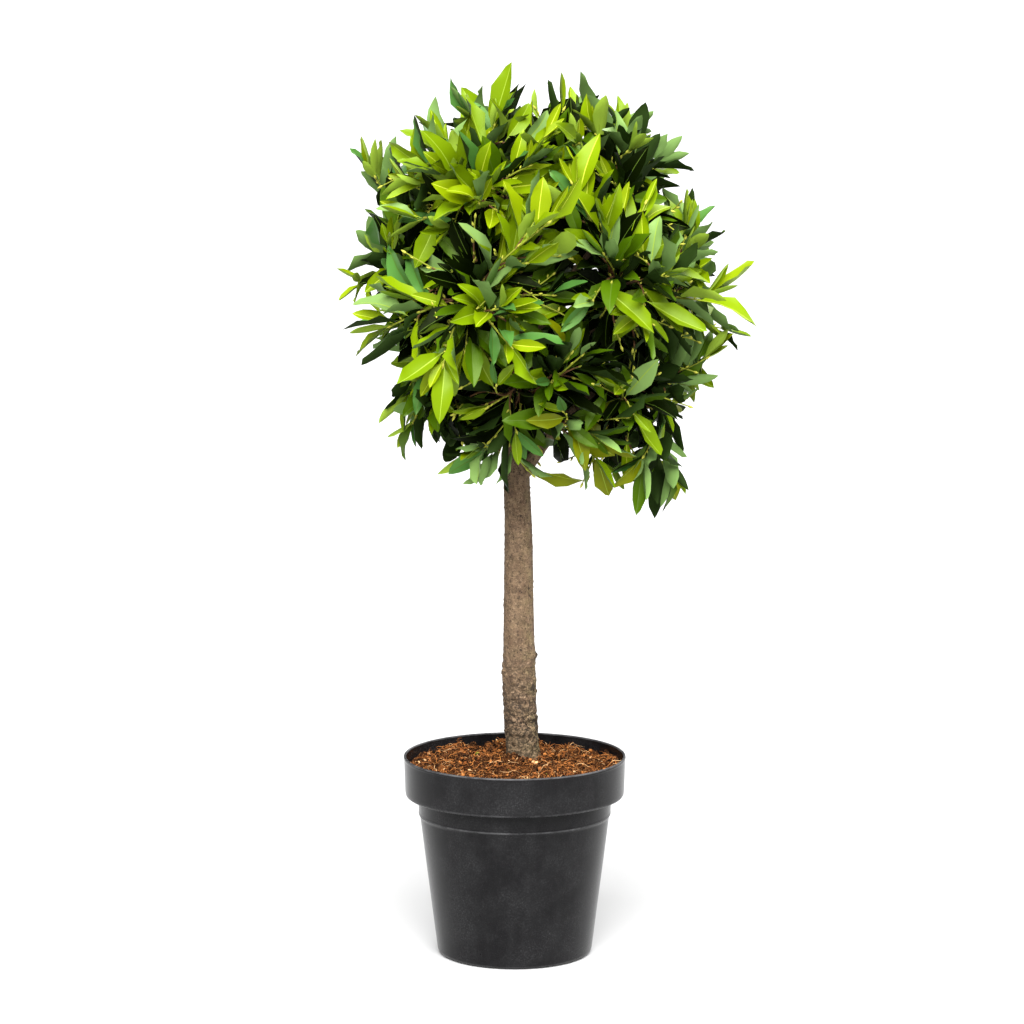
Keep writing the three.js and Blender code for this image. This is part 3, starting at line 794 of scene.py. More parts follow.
def pot_outline(pot):
    """Outline of the pot from its underside up the outside and down the inside."""
    height, rim, foot = pot.height / MM, pot.rim_radius / MM, pot.foot_radius / MM
    wall = pot.wall / MM
    collar_foot = height - pot.collar_height / MM
    ridge = collar_foot - RIDGE_DROP
    return rounded([
        (0, 1.8, 0),
        (foot - 20, 1.8, 1.5),
        (foot - 17, 0, 1.5),
        (foot - 4, 0, 2.5),
        (foot, 4, 2.5),
        (119.9, ridge - 3.4, 1.5),
        (121.7, ridge - 0.4, 1.5),
        (121.9, ridge + 1.2, 1.2),
        (121.6, ridge + 3.2, 1.0),
        (122.5, collar_foot - 0.4, 1.0),
        (137.9, collar_foot - 0.2, 4.5),
        (138.7, collar_foot + 5.5, 1.5),
        (rim - 0.1, height - 4.2, 0.8),
        (rim + 0.35, height - 3.2, 0.8),
        (rim + 0.3, height, 1.1),
        (rim - wall - 0.3, height, 1.1),
        (rim - wall - 0.1, height - 4, 1.0),
        (138.4 - wall, collar_foot + wall + 1, 2.0),
        (122.6 - wall, collar_foot + wall, 2.0),
        (121.4 - wall, ridge, 1.0),
        (foot - wall, 3.6, 2.0),
        (0, 3.6, 0),
    ])


def pot_plastic(pot):
    """Charcoal plastic with a dusty bloom, scuffs and pale edges that are part wear and part
    painted highlight.
    """
    material, graph, shader = new_material("pot_plastic", 0.3, 0.14)
    place = object_place(graph)
    height = graph.add("ShaderNodeSeparateXYZ", {"Vector": place}).outputs["Z"]
    bloom = clouds(graph, place, 19, 8, 0.68, 0.40, 0.78)
    streaks = clouds(graph, place, (70, 70, 9), 5, 0.6, 0.45, 0.85)
    grain = clouds(graph, place, 520, 3, 0.7, 0.46, 0.86)
    specks = clouds(graph, place, 900, 3, 0.8, 0.60, 0.74)
    bloom_dust = graph.times(graph.times(bloom, graph.plus(0.12, grain)), 0.62)
    dust = graph.plus(bloom_dust, graph.times(streaks, 0.05))
    dust = graph.plus(dust, graph.times(specks, 0.34))
    bands = []
    # Pale bands along the edges: part wear, part painted highlight.
    for centre, half, edge_paleness in WEAR_AND_HIGHLIGHT_EDGES:
        away = graph.math("ABSOLUTE", graph.math("SUBTRACT", height, centre))
        bands.append(graph.times(between(graph, away, half, half * 0.3), edge_paleness))
    patchy = clouds(graph, place, 34, 5, 0.7, 0.34, 0.72)
    wear_and_highlight = graph.times(graph.largest(bands), patchy)
    amount = graph.math("MINIMUM", graph.plus(graph.times(dust, 0.55), wear_and_highlight), 1)
    colour = mixed(graph, amount, tuple(pot.plastic), tuple(pot.dust))
    graph.fill(shader.inputs["Base Color"], colour)
    rough = graph.plus(0.20, graph.times(amount, 0.6))
    graph.fill(shader.inputs["Roughness"], rough)
    relief = graph.plus(noise(graph, place, 700, 3, 0.55), graph.times(bloom, 0.6))
    bump(graph, shader, relief, 0.25, 0.0002)
    return material


class MakePot(bpy.types.Operator):
    """Turns the nursery pot with its collar, ridge and rounded rim"""

    bl_idname = "bay.make_pot"
    bl_label = "Make the pot"

    def execute(self, context):
        pot = context.scene.bay_pot
        points, faces = lathe(pot_outline(pot), pot.sides)
        obj = mesh_object("pot_shell", points, faces)
        obj.data.materials.append(pot_plastic(pot))
        finish_piece(obj, "pot", "pot")
        return {"FINISHED"}


# ------------------------------------------------------------------------- soil

# The bed's steps round and across, its radius at the top, and its outline below,
# from the bottom up, as radius and height (mm).
SOIL_SIDES, SOIL_RINGS = 360, 84
SOIL_RADIUS = 136.2
SOIL_BELOW = [(94.0, 6.0), (117.5, 182.0), (118.0, 208.5), (134.5, 210.0), (136.0, 232.0)]
# The sheets that crumbs and fibres are strewn over, with a hole for the trunk.
SHEET_SIDES, SHEET_RINGS = 120, 40
SHEET_HOLE = 22
# Level of the soil by the distance from the pot's middle (mm).
SOIL_LEVEL = ((0, 46, 78, 112, 136), (5.2, 5.2, 2.6, 1.2, 0))
# The soil's noise is read this far on, so that no place is below 0.
FIELD_SHIFT, FIELD_WRAP = 200, 499


def field(x, y, cell, seed):
    """Smooth noise from -1 to 1 over a flat place, in cells of a given size."""
    return lattice_noise(x / cell + FIELD_SHIFT, y / cell + FIELD_SHIFT, seed, FIELD_WRAP)


def soil_height(x, y, edge, roughness):
    """Height of the soil: mounded round the trunk, clodded and pitted."""
    away = np.hypot(x, y)
    level = np.interp(away, *SOIL_LEVEL)
    trunk_away = np.hypot(x - TRUNK_STATIONS[0][1], y)
    level = level + 5.6 * np.exp(-(((trunk_away - 22) / 13) ** 2))
    clods = 0.7 * field(x, y, 17, 1) + 0.55 * field(x, y, 8, 2) + 0.3 * field(x, y, 3.8, 3)
    pits = -3.6 * np.clip(field(x, y, 11, 4) - 0.08, 0, 1)
    pits *= np.clip((trunk_away - 26) / 12, 0, 1)
    calm = np.clip((137 - away) / 8, 0.25, 1)
    return edge + level + roughness * calm * (clods + pits + 0.22 * field(x, y, 1.9, 5))


def soil_surface(soil, sides, rings, outer, inner):
    """Points of the soil's top as rings from the rim inwards."""
    edge, roughness = soil.edge_height / MM, soil.roughness / MM
    radii = np.linspace(outer, inner, rings)
    turns = np.arange(sides) * FULL_TURN / sides
    x = radii[:, None] * np.cos(turns)
    y = radii[:, None] * np.sin(turns)
    z = soil_height(x, y, edge, roughness)
    return np.stack([x, y, z], -1).reshape(-1, 3)


def soil_peat(soil):
    """Red-brown peat and coir, dark in the pits, with painted shade: a near-black ground between
    the clods and the dark pits.
    """
    material, graph, shader = new_material("soil_peat", 0.95, 0.05)
    place = object_place(graph)
    clods = clouds(graph, place, 160, 8, 0.7, 0.40, 0.64)
    shreds = clouds(graph, place, (700, 260, 500), 5, 0.7, 0.52, 0.72)
    # Dark pits: painted shade.
    pits = clouds(graph, place, 420, 4, 0.6, 0.56, 0.70)
    moss = clouds(graph, place, 55, 4, 0.6, 0.66, 0.74)
    # The near-black first colour is painted shade between the clods.
    colour = layered(
        graph, (0.008, 0.0035, 0.0015),
        (clods, tuple(soil.peat)),
        (shreds, (0.34, 0.145, 0.048)),
        (pits, (0.005, 0.0025, 0.001)),
        (graph.times(moss, 0.4), (0.13, 0.11, 0.02)),
    )
    graph.fill(shader.inputs["Base Color"], colour)
    bump(graph, shader, noise(graph, place, 520, 6, 0.75), 1.0, 0.002)
    return material


CRUMB_COLOURS = [
    ("peat_red", (0.135, 0.042, 0.011)),
    ("peat_brown", (0.030, 0.010, 0.003)),
    ("peat_dark", (0.006, 0.003, 0.0015)),
    ("coir_orange", (0.320, 0.118, 0.030)),
    ("coir_pale", (0.560, 0.340, 0.160)),
    ("peat_red_light", (0.240, 0.084, 0.023)),
    ("moss_fleck", (0.150, 0.150, 0.020)),
]
# Roughness and specular level of the loose crumbs and fibres.
CRUMB_FINISH = (0.95, 0.05)
# Colours of crumbs and of fibres, each from its place among 100 up.
CRUMB_SHARES = [
    ("peat_red", 0), ("peat_brown", 20), ("peat_dark", 36), ("coir_orange", 72),
    ("peat_red_light", 84), ("coir_pale", 94), ("moss_fleck", 99),
]
FIBRE_SHARES = [
    ("coir_orange", 0), ("peat_red_light", 30), ("coir_pale", 76), ("peat_brown", 84),
]


def crumb_shapes():
    """A few rough crumbs, each of twenty faces and one unit across."""
    gold = (1 + math.sqrt(5)) / 2
    corners = []
    for a in (-1, 1):
        for b in (-gold, gold):
            corners += [(0, a, b), (a, b, 0), (b, 0, a)]
    corners = np.array(corners) / (2 * math.hypot(1, gold))
    spacing = 1.06 / math.hypot(1, gold)
    near = [
        {j for j in range(12) if j != i and np.linalg.norm(corners[i] - corners[j]) < spacing}
        for i in range(12)
    ]
    faces = []
    for i in range(12):
        for j in near[i]:
            for k in near[i] & near[j]:
                if i < j < k:
                    a, b, c = corners[i], corners[j], corners[k]
                    outward = float(np.cross(b - a, c - a) @ a) > 0
                    faces.append((i, j, k) if outward else (i, k, j))
    rng = np.random.default_rng(61)
    shapes = []
    for stretch in [(1, 0.7, 0.55), (1, 0.5, 0.4), (1, 0.85, 0.7), (1, 0.35, 0.25)]:
        dented = corners * (1 + rng.uniform(-0.28, 0.28, (12, 1))) * stretch
        shapes.append((dented, faces))
    return shapes


def fibre_shapes():
    """A few bent fibres, three-sided and one unit long, thinning at their ends."""
    shapes = []
    rng = np.random.default_rng(62)
    for bow in (0.12, 0.3, 0.5, 0.75):
        steps = 6
        points = []
        kink = rng.uniform(-0.05, 0.05, (steps + 1, 3))
        for step in range(steps + 1):
            t = step / steps
            centre = np.array((t - 0.5, bow * t * (1 - t), 0.08 * math.sin(5 * t))) + kink[step]
            size = 0.018 * (1 - 0.6 * abs(2 * t - 1))
            for side in range(3):
                turn = FULL_TURN * side / 3
                points.append(centre + size * np.array((0, math.cos(turn), math.sin(turn))))
        shapes.append((np.array(points), closed_tube(steps + 1, 3)))
    return shapes


def shape_collection(name, shapes, extras=None):
    """A hidden collection of small shapes for instancing, one unit in size."""
    collection = bpy.data.collections.new(name)
    for number, (points, faces) in enumerate(shapes):
        mesh = bpy.data.meshes.new(f"{name}_{number:02d}")
        mesh.from_pydata([tuple(map(float, p)) for p in points], [], faces)
        mesh.validate()
        if extras is not None:
            extras(mesh, number)
        collection.objects.link(bpy.data.objects.new(mesh.name, mesh))
    return collection


def discard_collection(collection):
    """Removes the small shapes once they have been strewn."""
    for obj in list(collection.objects):
        mesh = obj.data
        bpy.data.objects.remove(obj)
        bpy.data.meshes.remove(mesh)
    bpy.data.collections.remove(collection)


def scatter_tree(name, materials, lift):
    """Strews small shapes over a surface: random turn and size, colours dealt out."""
    tree, graph, given, result = geometry_tree(name, [
        ("Shapes", "NodeSocketCollection", None),
        ("Density", "NodeSocketFloat", 1000.0),
        ("Smallest", "NodeSocketFloat", 0.002),
        ("Largest", "NodeSocketFloat", 0.006),
        ("Tilt", "NodeSocketFloat", 0.5),
        ("Seed", "NodeSocketInt", 1),
    ])
    spread = graph.add(
        "GeometryNodeDistributePointsOnFaces",
        {"Mesh": given["Geometry"], "Density": given["Density"], "Seed": given["Seed"]},
        distribute_method="RANDOM",
    )

    def chance(kind, low, high, seed):
        node = graph.add("FunctionNodeRandomValue", data_type=kind)
        inputs = [s for s in node.inputs if s.enabled and s.name in ("Min", "Max")]
        graph.fill(inputs[0], low)
        graph.fill(inputs[1], high)
        node.inputs["Seed"].default_value = seed
        return next(s for s in node.outputs if s.enabled)

    tone = graph.add(
        "GeometryNodeStoreNamedAttribute",
        {"Geometry": spread.outputs["Points"], "Name": "tone",
         "Value": chance("INT", 0, 99, 11)},
        data_type="INT", domain="POINT",
    )
    leaning = graph.add("ShaderNodeCombineXYZ", {
        "X": graph.times(chance("FLOAT", -1.0, 1.0, 12), given["Tilt"]),
        "Y": graph.times(chance("FLOAT", -1.0, 1.0, 13), given["Tilt"]),
        "Z": chance("FLOAT", 0.0, FULL_TURN, 14),
    })
    turned = graph.add("FunctionNodeEulerToRotation", {"Euler": leaning.outputs[0]})
    size = chance("FLOAT", 0.0, 1.0, 15)
    size = graph.times(size, size)
    span = graph.math("SUBTRACT", given["Largest"], given["Smallest"])
    size = graph.plus(given["Smallest"], graph.times(size, span))
    raised = graph.add(
        "GeometryNodeSetPosition",
        {"Geometry": tone.outputs[0],
         "Offset": graph.add("ShaderNodeCombineXYZ", {"Z": lift}).outputs[0]},
    )
    placed = graph.add("GeometryNodeInstanceOnPoints", {
        "Points": raised.outputs[0],
        "Instance": shapes_of(graph, given["Shapes"]),
        "Pick Instance": True,
        "Instance Index": chance("INT", 0, 3, 16),
        "Rotation": turned.outputs[0],
        "Scale": size,
    })
    geometry = realized(graph, placed.outputs[0])
    value = named_value(graph, "tone", "INT")
    geometry = set_material(graph, geometry, materials[0][0])
    for material, limit in materials[1:]:
        above = compared(graph, value, limit, "GREATER_EQUAL")
        geometry = set_material(graph, geometry, material, above)
    graph.fill(result, geometry)
    return tree


class MakeSoil(bpy.types.Operator):
    """Fills the pot with clodded soil and strews crumbs and fibres over it"""

    bl_idname = "bay.make_soil"
    bl_label = "Make the soil"

    def execute(self, context):
        soil = context.scene.bay_soil
        below, _ = lathe(SOIL_BELOW, SOIL_SIDES)
        top = soil_surface(soil, SOIL_SIDES, SOIL_RINGS, SOIL_RADIUS, 1.0)
        faces = closed_tube(len(SOIL_BELOW) + SOIL_RINGS, SOIL_SIDES)
        obj = mesh_object("soil_bed", np.concatenate([below, top]), faces)
        obj.data.materials.append(soil_peat(soil))
        finish_piece(obj, "soil", "soil")

        colours = {
            name: plain_material(name, shade, *CRUMB_FINISH) for name, shade in CRUMB_COLOURS
        }
        for name, shapes, shares, radius, lift, values in [
            ("soil_crumbs", crumb_shapes(), CRUMB_SHARES, 132, 0.0004,
             {"Density": float(soil.crumbs), "Smallest": 0.0012, "Largest": 0.0070,
              "Tilt": 0.8, "Seed": 5}),
            ("soil_fibres", fibre_shapes(), FIBRE_SHARES, 125, 0.0024,
             {"Density": float(soil.fibres), "Smallest": 0.007, "Largest": 0.026,
              "Tilt": 0.5, "Seed": 8}),
        ]:
            sheet = soil_surface(soil, SHEET_SIDES, SHEET_RINGS, radius, SHEET_HOLE)
            obj = mesh_object(name, sheet, ring_faces(SHEET_RINGS, SHEET_SIDES))
            collection = shape_collection(f"{name}_shapes", shapes)
            tree = scatter_tree(
                f"{name}_scatter", [(colours[shade], limit) for shade, limit in shares], lift
            )
            run_tree(obj, tree, {"Shapes": collection, **values})
            discard_collection(collection)
            finish_piece(obj, "soil")
        return {"FINISHED"}


# ------------------------------------------------------------- trunk and boughs

# Rings round the trunk: height and rise.
GROWTH_RINGS = [
    (286, 2.4), (303, 2.8), (331, 2.0), (349, 1.4), (372, 2.0), (455, 0.8),
    (498, 0.9), (536, 1.4), (548, 1.2), (571, 1.4), (596, 1.0), (660, 0.8),
]
# Scars where side shoots were cut off: height, bearing and radius.
OLD_SCARS = [
    (323, 268, 6.5), (349, 296, 5), (384, 340, 4), (560, 262, 3.5), (540, 284, 3), (301, 305, 5),
    (362, 196, 5), (430, 60, 4), (470, 130, 4), (410, 200, 3.5), (520, 20, 3.5),
]
# Pores: how many, between which heights and how large; and the radii at which a
# turn round the trunk becomes a width, for pores and for scars (mm).
PORES, PORE_HEIGHTS, PORE_SIZES = 620, (270, 660), (0.6, 1.5)
PORE_ARC, SCAR_ARC = 19, 20
# Bark is rough low down, and calms over this length up to this height (mm).
ROUGH_FADE, ROUGH_END = 34, 402
# The trunk's foot: its depth in the soil, and its flare's height, rise and lobes.
FOOT_DEPTH, FLARE_HEIGHT, FLARE_RISE, FLARE_LOBES = 9, 26, 0.09, 5
BOUGH_SIDES, BOUGH_RINGS = 20, 46


def trunk_radii(heights, angles):
    """Radius of the trunk over a grid of heights and angles, knots and flare included."""
    radius = station_column(heights, 3)[:, None] + 0 * angles[None]
    for at, bearing, rise, width in TRUNK_KNOTS:
        away = 1 - np.cos(angles - math.radians(bearing))[None]
        drop = (heights[:, None] - at) / width
        radius = radius + 0.3 * rise * np.exp(-(drop**2) - away * 3)
        radius = radius + 0.5 * rise * np.exp(-((2.6 * drop) ** 2) - away * 22)
    flare = np.clip(1 - (heights - TRUNK_FOOT) / FLARE_HEIGHT, 0, 1.3)[:, None]
    return radius * (1 + FLARE_RISE * flare * np.cos(FLARE_LOBES * angles + 0.6)[None])


def bark_relief(heights, angles, depth):
    """Height of the bark's fine relief: grain, pores, growth rings and old scars."""
    u = angles[None] / FULL_TURN + 0 * heights[:, None]
    z = heights[:, None] + 0 * angles[None]
    rough = np.clip((ROUGH_END - z) / ROUGH_FADE, 0, 1)
    relief = 0.55 * lattice_noise(u * 30, z / 16, 21, 30)
    relief += 0.45 * lattice_noise(u * 64, z / 3.4, 22, 64)
    relief += rough * 2.8 * lattice_noise(u * 22, z / 5.6, 23, 22)
    relief += rough * 2.0 * lattice_noise(u * 44, z / 2.9, 24, 44)
    sway = 1.6 * lattice_noise(u * 9, z / 40, 25, 9)
    for at, rise in GROWTH_RINGS:
        relief += rise * np.exp(-(((z - at + sway) / 1.3) ** 2))
    rng = np.random.default_rng(26)
    for _ in range(PORES):
        at = rng.uniform(*PORE_HEIGHTS)
        turn = rng.uniform(0, FULL_TURN)
        size = rng.uniform(*PORE_SIZES)
        near = np.abs(heights - at) < 4
        across = np.angle(np.exp(1j * (angles - turn))) * PORE_ARC
        spot = ((heights[near, None] - at) / (0.7 * size)) ** 2
        spot = spot + (across[None] / (1.4 * size)) ** 2
        relief[near] += 1.5 * size * np.exp(-spot)
    for at, bearing, size in OLD_SCARS:
        across = np.angle(np.exp(1j * (angles - math.radians(bearing))))[None] * SCAR_ARC
        away = np.hypot(across, (z - at) * 1.5)
        relief += 2.2 * np.exp(-(((away - size) / 1.1) ** 2)) * (z < at + 2)
        relief -= 1.8 * np.exp(-((away / (size * 0.6)) ** 2))
    return relief * depth


def trunk_points(sides, step, depth):
    """Rings of points round the trunk, from its foot to its tip."""
    heights = np.arange(TRUNK_FOOT - FOOT_DEPTH, TRUNK_TIP + 0.1, step)
    angles = np.arange(sides) * FULL_TURN / sides
    radius = trunk_radii(heights, angles) + bark_relief(heights, angles, depth)
    centre_x = station_column(heights, 1)[:, None]
    centre_y = station_column(heights, 2)[:, None]
    x = centre_x + radius * np.cos(angles)[None]
    y = centre_y + radius * np.sin(angles)[None]
    z = heights[:, None] + 0 * x
    return np.stack([x, y, z], -1).reshape(-1, 3)


def bough_points(index, depth):
    """Rings of points round a bough, with a swollen collar where it leaves the trunk."""
    sides, rings = BOUGH_SIDES, BOUGH_RINGS
    _, _, _, fork, thick, thin = MASSES[index]
    curve = bough_curve(index)
    length = length_of(curve(1) - curve(0))
    angles = np.arange(sides) * FULL_TURN / sides
    rows = []
    for ring in range(rings):
        share = ring / (rings - 1)
        tangent = unit(curve(min(share + 1e-3, 1)) - curve(max(share - 1e-3, 0)))
        side, other = cross_directions(tangent)
        run = share * length
        from_trunk = run - along_stations(fork, 3)
        radius = lerp(thick, thin, share) * (1 + 0.2 * math.exp(-share * length * 0.08))
        radius *= 1 + 0.16 * math.exp(-((from_trunk / 6) ** 2))
        row = np.full(sides, run)
        grain = lattice_noise(angles / FULL_TURN * 12, row / 4 + index * 7, 31, 12)
        grain += 1.2 * np.exp(-(((row % 31 - 15) / 1.2) ** 2))
        size = radius + depth * grain
        rows.append(
            curve(share)[None]
            + (size * np.cos(angles))[:, None] * side[None]
            + (size * np.sin(angles))[:, None] * other[None]
        )
    return np.concatenate(rows)


# Dark scars, the dead knob's among them: place on the bark and radius (mm).
SCARS = [
    ((25.5, -4, 384), 7.0), ((11, -22, 279), 6.0), ((7, -22, 322), 3.4), ((26, -10, 300), 6.5),
    ((24, -13, 344), 6.0), ((-11, -12, 300), 4.5), ((19, -17, 284), 4.0), ((8, -19, 392), 3.0),
    ((9, -16, 560), 3.6), ((17, -11, 470), 3.0), ((-9, 14, 330), 6.0), ((14, 18, 420), 5.0),
]


def scars(graph, place):
    """1 inside a scar and 0 away from them all, with a broken edge."""
    ragged = graph.math("SUBTRACT", noise(graph, place, 260, 4, 0.5), 0.5)
    spread = graph.times(ragged, 0.016)
    spots = []
    for spot, radius in SCARS:
        centre = tuple(value * MM for value in spot)
        away = graph.add("ShaderNodeVectorMath", {0: place, 1: centre}, operation="DISTANCE")
        reach = graph.plus(away.outputs["Value"], spread)
        spots.append(between(graph, reach, radius * MM, 0.45 * radius * MM))
    return graph.largest(spots)


def bark_material(trunk):
    """Taupe bark with dark pores, pale dry patches and an olive bloom low down."""
    material, graph, shader = new_material("bay_bark", 0.85, 0.3)
    place = object_place(graph)
    x, _, height = graph.add("ShaderNodeSeparateXYZ", {"Vector": place}).outputs
    dark = tuple(trunk.bark_dark)
    low = between(graph, height, 0.40, 0.30)
    right = between(graph, x, 0.008, 0.026)
    patches = clouds(graph, place, (75, 75, 42), 7, 0.68, 0.34, 0.68)
    shade = clouds(graph, place, (190, 190, 110), 6, 0.7, 0.46, 0.72)
    bloom = clouds(graph, place, 70, 5, 0.65, 0.40, 0.66)
    bloom = graph.times(bloom, graph.plus(0.12, graph.times(right, 0.55)))
    pores = graph.add(
        "ShaderNodeTexVoronoi", {"Vector": stretched(graph, place, (260, 260, 420)), "Scale": 1.0}
    ).outputs["Distance"]
    pores = between(graph, pores, 0.30, 0.16)
    flecks = clouds(graph, place, 270, 4, 0.8, 0.56, 0.64)
    flecks = graph.times(flecks, graph.plus(0.42, graph.times(low, 0.5)))
    spots = clouds(graph, place, (250, 250, 200), 4, 0.85, 0.54, 0.62)
    cracks = clouds(graph, place, (240, 240, 360), 6, 0.8, 0.46, 0.53)
    cracks = graph.times(cracks, graph.plus(0.25, graph.times(low, 0.75)))
    colour = layered(
        graph, tuple(trunk.bark),
        (graph.times(patches, 0.5), tuple(trunk.bark_pale)),
        (graph.times(shade, 0.55), dark),
        (bloom, (0.215, 0.17, 0.075)),
        (graph.times(pores, 0.62), dark),
        (flecks, (0.36, 0.25, 0.155)),
        (graph.times(spots, 0.82), dark),
        (cracks, (0.013, 0.008, 0.004)),
        (graph.times(scars(graph, place), 0.85), dark),
        (graph.times(between(graph, height, 0.305, 0.262), 0.22), (0.075, 0.055, 0.022)),
    )
    graph.fill(shader.inputs["Base Color"], colour)
    fine = noise(graph, place, (500, 500, 340), 6, 0.7)
    bump(graph, shader, graph.plus(fine, graph.times(pores, -0.5)), 0.7, 0.0007)
    return material


class MakeTrunk(bpy.types.Operator):
    """Makes the bark of the trunk and of every main bough, with its relief"""

    bl_idname = "bay.make_trunk"
    bl_label = "Make the trunk and boughs"

    def execute(self, context):
        trunk = context.scene.bay_trunk
        bark = bark_material(trunk)
        depth = trunk.relief / MM
        points = trunk_points(trunk.sides, trunk.ring_step / MM, depth)
        faces = closed_tube(len(points) // trunk.sides, trunk.sides)
        obj = mesh_object("trunk_bark", points, faces)
        obj.data.materials.append(bark)
        finish_piece(obj, "bark", "trunk")

        tubes, faces, names = [], [], []
        for index, mass in enumerate(MASSES):
            if mass[3] > 0:
                first = len(tubes) * BOUGH_RINGS * BOUGH_SIDES
                faces += closed_tube(BOUGH_RINGS, BOUGH_SIDES, first)
                tubes.append(bough_points(index, depth))
                names.append(f"bough_{mass[0]}")
        obj = mesh_object("bough_bark", np.concatenate(tubes), faces)
        obj.data.materials.append(bark)
        finish_piece(obj, "bark", *names)
        return {"FINISHED"}


# ---------------------------------------------------------------------- foliage

# Distance along a leaf from the foot of its stalk, and width against the widest.
LEAF_STATIONS = [
    (0.10, 0.060),
    (0.22, 0.50),
    (0.40, 0.93),
    (0.60, 1.0),
    (0.78, 0.76),
    (0.92, 0.36),
]
# Shapes of leaf: width, fold, droop, wave, phase, twist and scallop.
LEAF_SHAPES = [
    (0.37, 0.095, 0.12, 0.026, 0.0, 0.10, 0.04),
    (0.33, 0.110, -0.16, 0.032, 1.4, -0.30, 0.05),
    (0.40, 0.075, 0.34, 0.030, 2.7, 0.26, 0.04),
    (0.35, 0.105, 0.03, 0.038, 4.0, 0.44, 0.05),
    (0.38, 0.085, 0.50, 0.030, 5.1, -0.18, 0.05),
    (0.31, 0.120, 0.24, 0.042, 3.3, -0.54, 0.06),
    (0.33, 0.100, -0.06, 0.010, 0.5, 0.05, 0.02),
    (0.27, 0.120, -0.16, 0.008, 2.0, -0.10, 0.02),
]
GROWN_SHAPES = 6
YOUNG_SHAPES = (6, 7)
BUD_SHAPE = 8
RIB_HALF = 0.0095
BLADE, RIB, UNDER = 0, 1, 2
LEAF_RING = 5
STRIP_PARTS = (BLADE, RIB, BLADE, UNDER, UNDER)
# Strips split from the margin towards the rib; with the rest split the other
# way, both sides of a blade bend along the same slant and never meet.
OUTER_FIRST = (0, 1, 3)
MARGIN_SIDES = (0, 3)

# Colours of a leaf's upper side from painted shade to painted full light, each with the group of
# ribs and undersides that goes with it.
LEAF_TINTS = [
    ("leaf_shade", (0.002, 0.004, 0.0003), 0),
    ("leaf_deep", (0.042, 0.088, 0.001), 0),
    ("leaf_bluish", (0.050, 0.138, 0.024), 0),
    ("leaf_olive", (0.120, 0.140, 0.001), 1),
    ("leaf_mid", (0.112, 0.180, 0.001), 1),
    # The pale bluish tint below paints the gloss's sheen onto a leaf: a painted sheen.
    ("leaf_silver", (0.146, 0.242, 0.064), 1),
    ("leaf_fresh", (0.142, 0.215, 0.001), 2),
    ("leaf_lime", (0.158, 0.219, 0.001), 2),
]
SHADE, DEEP, BLUISH, OLIVE, MID, PAINTED_SHEEN, FRESH, LIME = range(8)
# Ribs and undersides come in three groups, from painted shade to painted light, to go with the
# tints.
RIB_COLOURS = [(0.0549, 0.0976, 0.0098), (0.2196, 0.305, 0.0268), (0.4026, 0.4636, 0.0366)]
UNDER_COLOURS = [(0.012, 0.026, 0.004), (0.110, 0.190, 0.050), (0.200, 0.300, 0.028)]
TWIG_COLOURS = [
    ("twig_old", (0.070, 0.042, 0.022)),
    ("twig_red", (0.120, 0.058, 0.020)),
    ("twig_green", (0.220, 0.250, 0.018)),
    ("bud_yellow", (0.420, 0.420, 0.050)),
]
OLD_WOOD, RED_WOOD, GREEN_WOOD, BUD = range(4)
# Roughness, specular level and the yellow-green tint of the gloss.
LEAF_GLOSS = (0.78, 1.0, 0.45)
LEAF_FINISH, SHADE_FINISH = (0.34, 0.19, LEAF_GLOSS), (0.34, 0.04, LEAF_GLOSS)
RIB_FINISH, UNDER_FINISH = (0.5, 0.3, LEAF_GLOSS), (0.62, 0.12, LEAF_GLOSS)
WOOD_FINISH = (0.75, 0.3)
# Leaves towards this side of the crown get lighter tints: painted light.
SUNNY_SIDE = unit(np.array((-0.34, -0.20, 0.80)))
# How far a leaf opens from its shoot: at the tip, behind it, and how much more
# at the foot (degrees).
TIP_OPENING, SIDE_OPENING, MORE_OPENING = 14, 36, 24
# A flat outline's foot, half width and rise, as shares of a leaf's length.
BLADE_FOOT, BLADE_HALF, BLADE_RISE = 0.12, 0.2, 0.04


def leaf_shape(width, fold, droop, wave, phase, twist, scallop):
    """A thin closed leaf along +Y: two blades, a rib between them and an underside."""
    points, parts, faces = [], [], []

    def spine(along):
        return np.array((
            0.02 * math.sin(3 * along + phase),
            along - 0.12 * droop * along**2,
            -droop * 0.62 * along**2 + 0.02 * math.sin(5 * along + phase),
        ))

    for along, wide in LEAF_STATIONS:
        half = width / 2 * wide
        blade = clamp((along - 0.12) / 0.3, 0, 1)
        ripples = [math.sin(14 * along + phase + shift) for shift in (0, 2.1)]
        rib = min(RIB_HALF * (1.15 - 0.75 * along), 0.5 * half)
        turn = twist * (along - 0.2)
        thick = 0.010 if along > 0.1 else 0.012
        (left, left_rise), (right, right_rise) = (
            (half * (1 + scallop * ripple), fold * wide + wave * blade * ripple)
            for ripple in ripples
        )
        for x, z in [
            (-left, left_rise), (-rib, 0.004), (rib, 0.004), (right, right_rise), (0, -thick),
        ]:
            points.append(spine(along) + np.array((
                x * math.cos(turn) - z * math.sin(turn), 0, x * math.sin(turn) + z * math.cos(turn)
            )))
    tip, foot = len(points), len(points) + 1
    points += [spine(1), spine(0)]
    for station in range(len(LEAF_STATIONS)):
        for strip in range(LEAF_RING):
            a = station * LEAF_RING + strip
            b = station * LEAF_RING + (strip + 1) % LEAF_RING
            if station == 0:
                faces.append((b, a, foot))
                parts.append(RIB)
            if station + 1 == len(LEAF_STATIONS):
                new = [(a, b, tip)]
            elif strip in OUTER_FIRST:
                new = [(a, b, b + LEAF_RING), (a, b + LEAF_RING, a + LEAF_RING)]
            else:
                new = [(a, b, a + LEAF_RING), (b, b + LEAF_RING, a + LEAF_RING)]
            faces += new
            parts += [STRIP_PARTS[strip]] * len(new)
    return points, faces, parts


